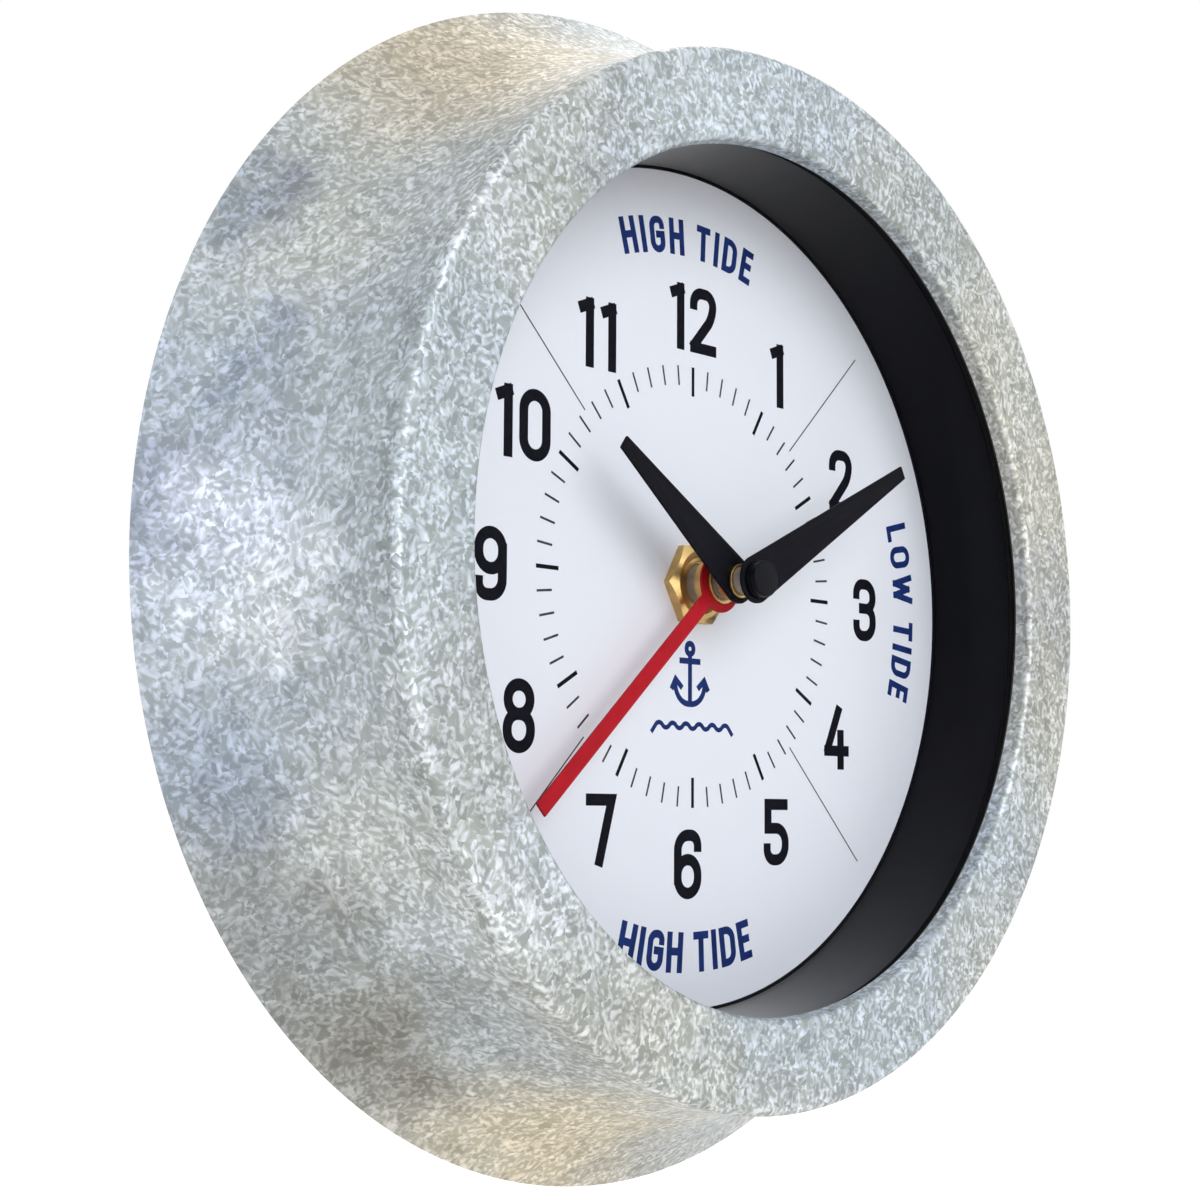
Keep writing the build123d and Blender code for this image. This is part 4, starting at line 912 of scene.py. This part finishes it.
# From the XY plane to the back of the movement, where x runs the other way
def backPlace(x, z):
    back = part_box("movement_case")[1].y
    return Matrix.Translation((x, back - ink["sunk"], z)) @ rotation(180, "Z") @ rotation(90, "X")


# A plus and a minus over the cell's ends and an arrow that bends over each setting knob
def makeMarks(settings):
    pen, size, reach, height = (settings[key] for key in ("pen", "signSize", "signReach", "signHeight"))
    minus = ("line", (-1, 0, 0), (1, 0, 0))
    plus = [minus, ("line", (0, -1, 0), (0, 1, 0))]
    placed = [(signMesh(plus, size, size, pen), backPlace(-reach, height)),
              (signMesh([minus], size, size, pen), backPlace(reach, height))]
    start, end, steps = settings["arrowStart"], settings["arrowEnd"], settings["arrowSteps"]
    bearings = [math.radians(start + (end - start) * step / steps) for step in range(steps + 1)]
    strokes = [("line", *((math.sin(bearing), math.cos(bearing), 0) for bearing in bearings))]
    tip, radius = bearings[-1], settings["arrowRadius"]
    head = settings["arrowHead"] / radius
    for side in (1 - head * settings["arrowSpread"], 1 + head * settings["arrowSpread"]):
        strokes.append(("line", (side * math.sin(tip - head), side * math.cos(tip - head), 0),
                        (math.sin(tip), math.cos(tip), 0)))
    arrow = signMesh(strokes, 2 * radius + pen, 2 * radius + pen, pen)
    for node in ("time_setting_knob", "tide_setting_knob"):
        low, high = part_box(node)
        placed.append((arrow, backPlace((low.x + high.x) / 2, (low.z + high.z) / 2)))
    return printed("movement_marks", placed, "whitePlastic")


makeMarks(marks)
makeStuds(fasteners)
makeHangerScrews(fasteners)
makeBattery(battery)
makeWinding(coil)
easedEdges = {  # millimetres
    "movement_case": 0.3, "movement_front_plate": 0.2, "dial_carrier": 0.2, "hanger_bracket": 0.15,
    "stud_nuts": 0.12, "stud_washers": 0.06, "time_setting_knob": 0.1, "tide_setting_knob": 0.1,
    "rubber_washer": 0.1, "coil_bobbin": 0.08, "circuit_board": 0.05, "controller_chip": 0.15,
    "quartz_crystal": 0.12, "train_plate": 0.08,
}
for node, width in easedEdges.items():
    easedCopy(node, width * mm)
print("back made")

# Floor, light and camera
studio = {
    "floorHeight": -0.30, "floorSize": 8.0, "paper": (0.86, 0.83, 0.79), "paperRough": 0.9, "paperGlow": 0.6,
    "skyFill": 0.56,
    "lamps": [  # name, place, width, power, colour
        ("key", (-0.25, -1.6, 0.6), 1.6, 16.0, (0.97, 0.98, 1.0)),
        ("side", (-1.2, -0.22, 0.10), 0.35, 0.85, (0.97, 0.97, 1.0)),
        ("top", (0.55, 0.35, 0.85), 0.7, 1.9, (1.0, 0.90, 0.78))],
}
view = {"place": (-0.2946, -0.2736, -0.0430), "forward": (0.72316, 0.68299, 0.10276),
        "right": (0.68618, -0.72741, 0.00572), "down": (0.07866, 0.06638, -0.99469),
        "lens": 63.59, "sensor": 36, "clipStart": 0.01}


# 1 where the camera sees the surface itself, in a shine or through a clear pane
def seenDirectly(tree):
    seen = addNode(tree, "LightPath").outputs
    direct = maths(tree, seen["Is Camera Ray"], seen["Is Glossy Ray"], "MAXIMUM")
    return maths(tree, direct, seen["Is Transmission Ray"], "MAXIMUM")


def makeFloor(settings):
    bm = bmesh.new()
    bmesh.ops.create_grid(bm, x_segments=2, y_segments=2, size=settings["floorSize"] / 2,
                          matrix=Matrix.Translation((0, 0, settings["floorHeight"])))
    floor = inScene("floor", meshOf(bm, "floor"))
    material, tree, shader, _ = startMaterial("floorPaper")
    shader.inputs["Base Color"].default_value = colour(settings["paper"])
    shader.inputs["Roughness"].default_value = settings["paperRough"]
    shader.inputs["Emission Color"].default_value = colour((1, 1, 1))
    glow = maths(tree, seenDirectly(tree), settings["paperGlow"], "MULTIPLY")
    tree.links.new(glow, shader.inputs["Emission Strength"])
    floor.data.materials.append(material)


def makeWorld(settings):
    world = bpy.data.worlds.new("studio")
    bpy.context.scene.world = world
    world.use_nodes = True
    tree = world.node_tree
    background = tree.nodes["Background"]
    background.inputs["Color"].default_value = colour((1, 1, 1))
    strength = ranged(tree, seenDirectly(tree), 0, 1, settings["skyFill"], 1.0)
    tree.links.new(strength, background.inputs["Strength"])


# A round area lamp that looks at the clock's middle
def makeLamp(name, place, size, power, tone):
    lamp = bpy.data.lights.new(name, "AREA")
    lamp.shape, lamp.size, lamp.energy, lamp.color = "DISK", size, power, tone
    holder = inScene(name, lamp)
    holder.location = place
    holder.rotation_euler = (-Vector(place)).to_track_quat("-Z", "Y").to_euler()


def makeCamera(settings):
    camera = bpy.data.cameras.new("camera")
    camera.sensor_width, camera.lens, camera.clip_start = settings["sensor"], settings["lens"], settings["clipStart"]
    holder = inScene("camera", camera)
    columns = [Vector(settings["right"]), -Vector(settings["down"]), -Vector(settings["forward"])]
    turn = Matrix(columns).transposed().to_4x4()
    holder.matrix_world = Matrix.Translation(settings["place"]) @ turn
    bpy.context.scene.camera = holder


makeFloor(studio)
makeWorld(studio)
for lamp in studio["lamps"]:
    makeLamp(*lamp)
makeCamera(view)
bpy.context.scene.view_settings.view_transform = "Standard"
print("studio set")
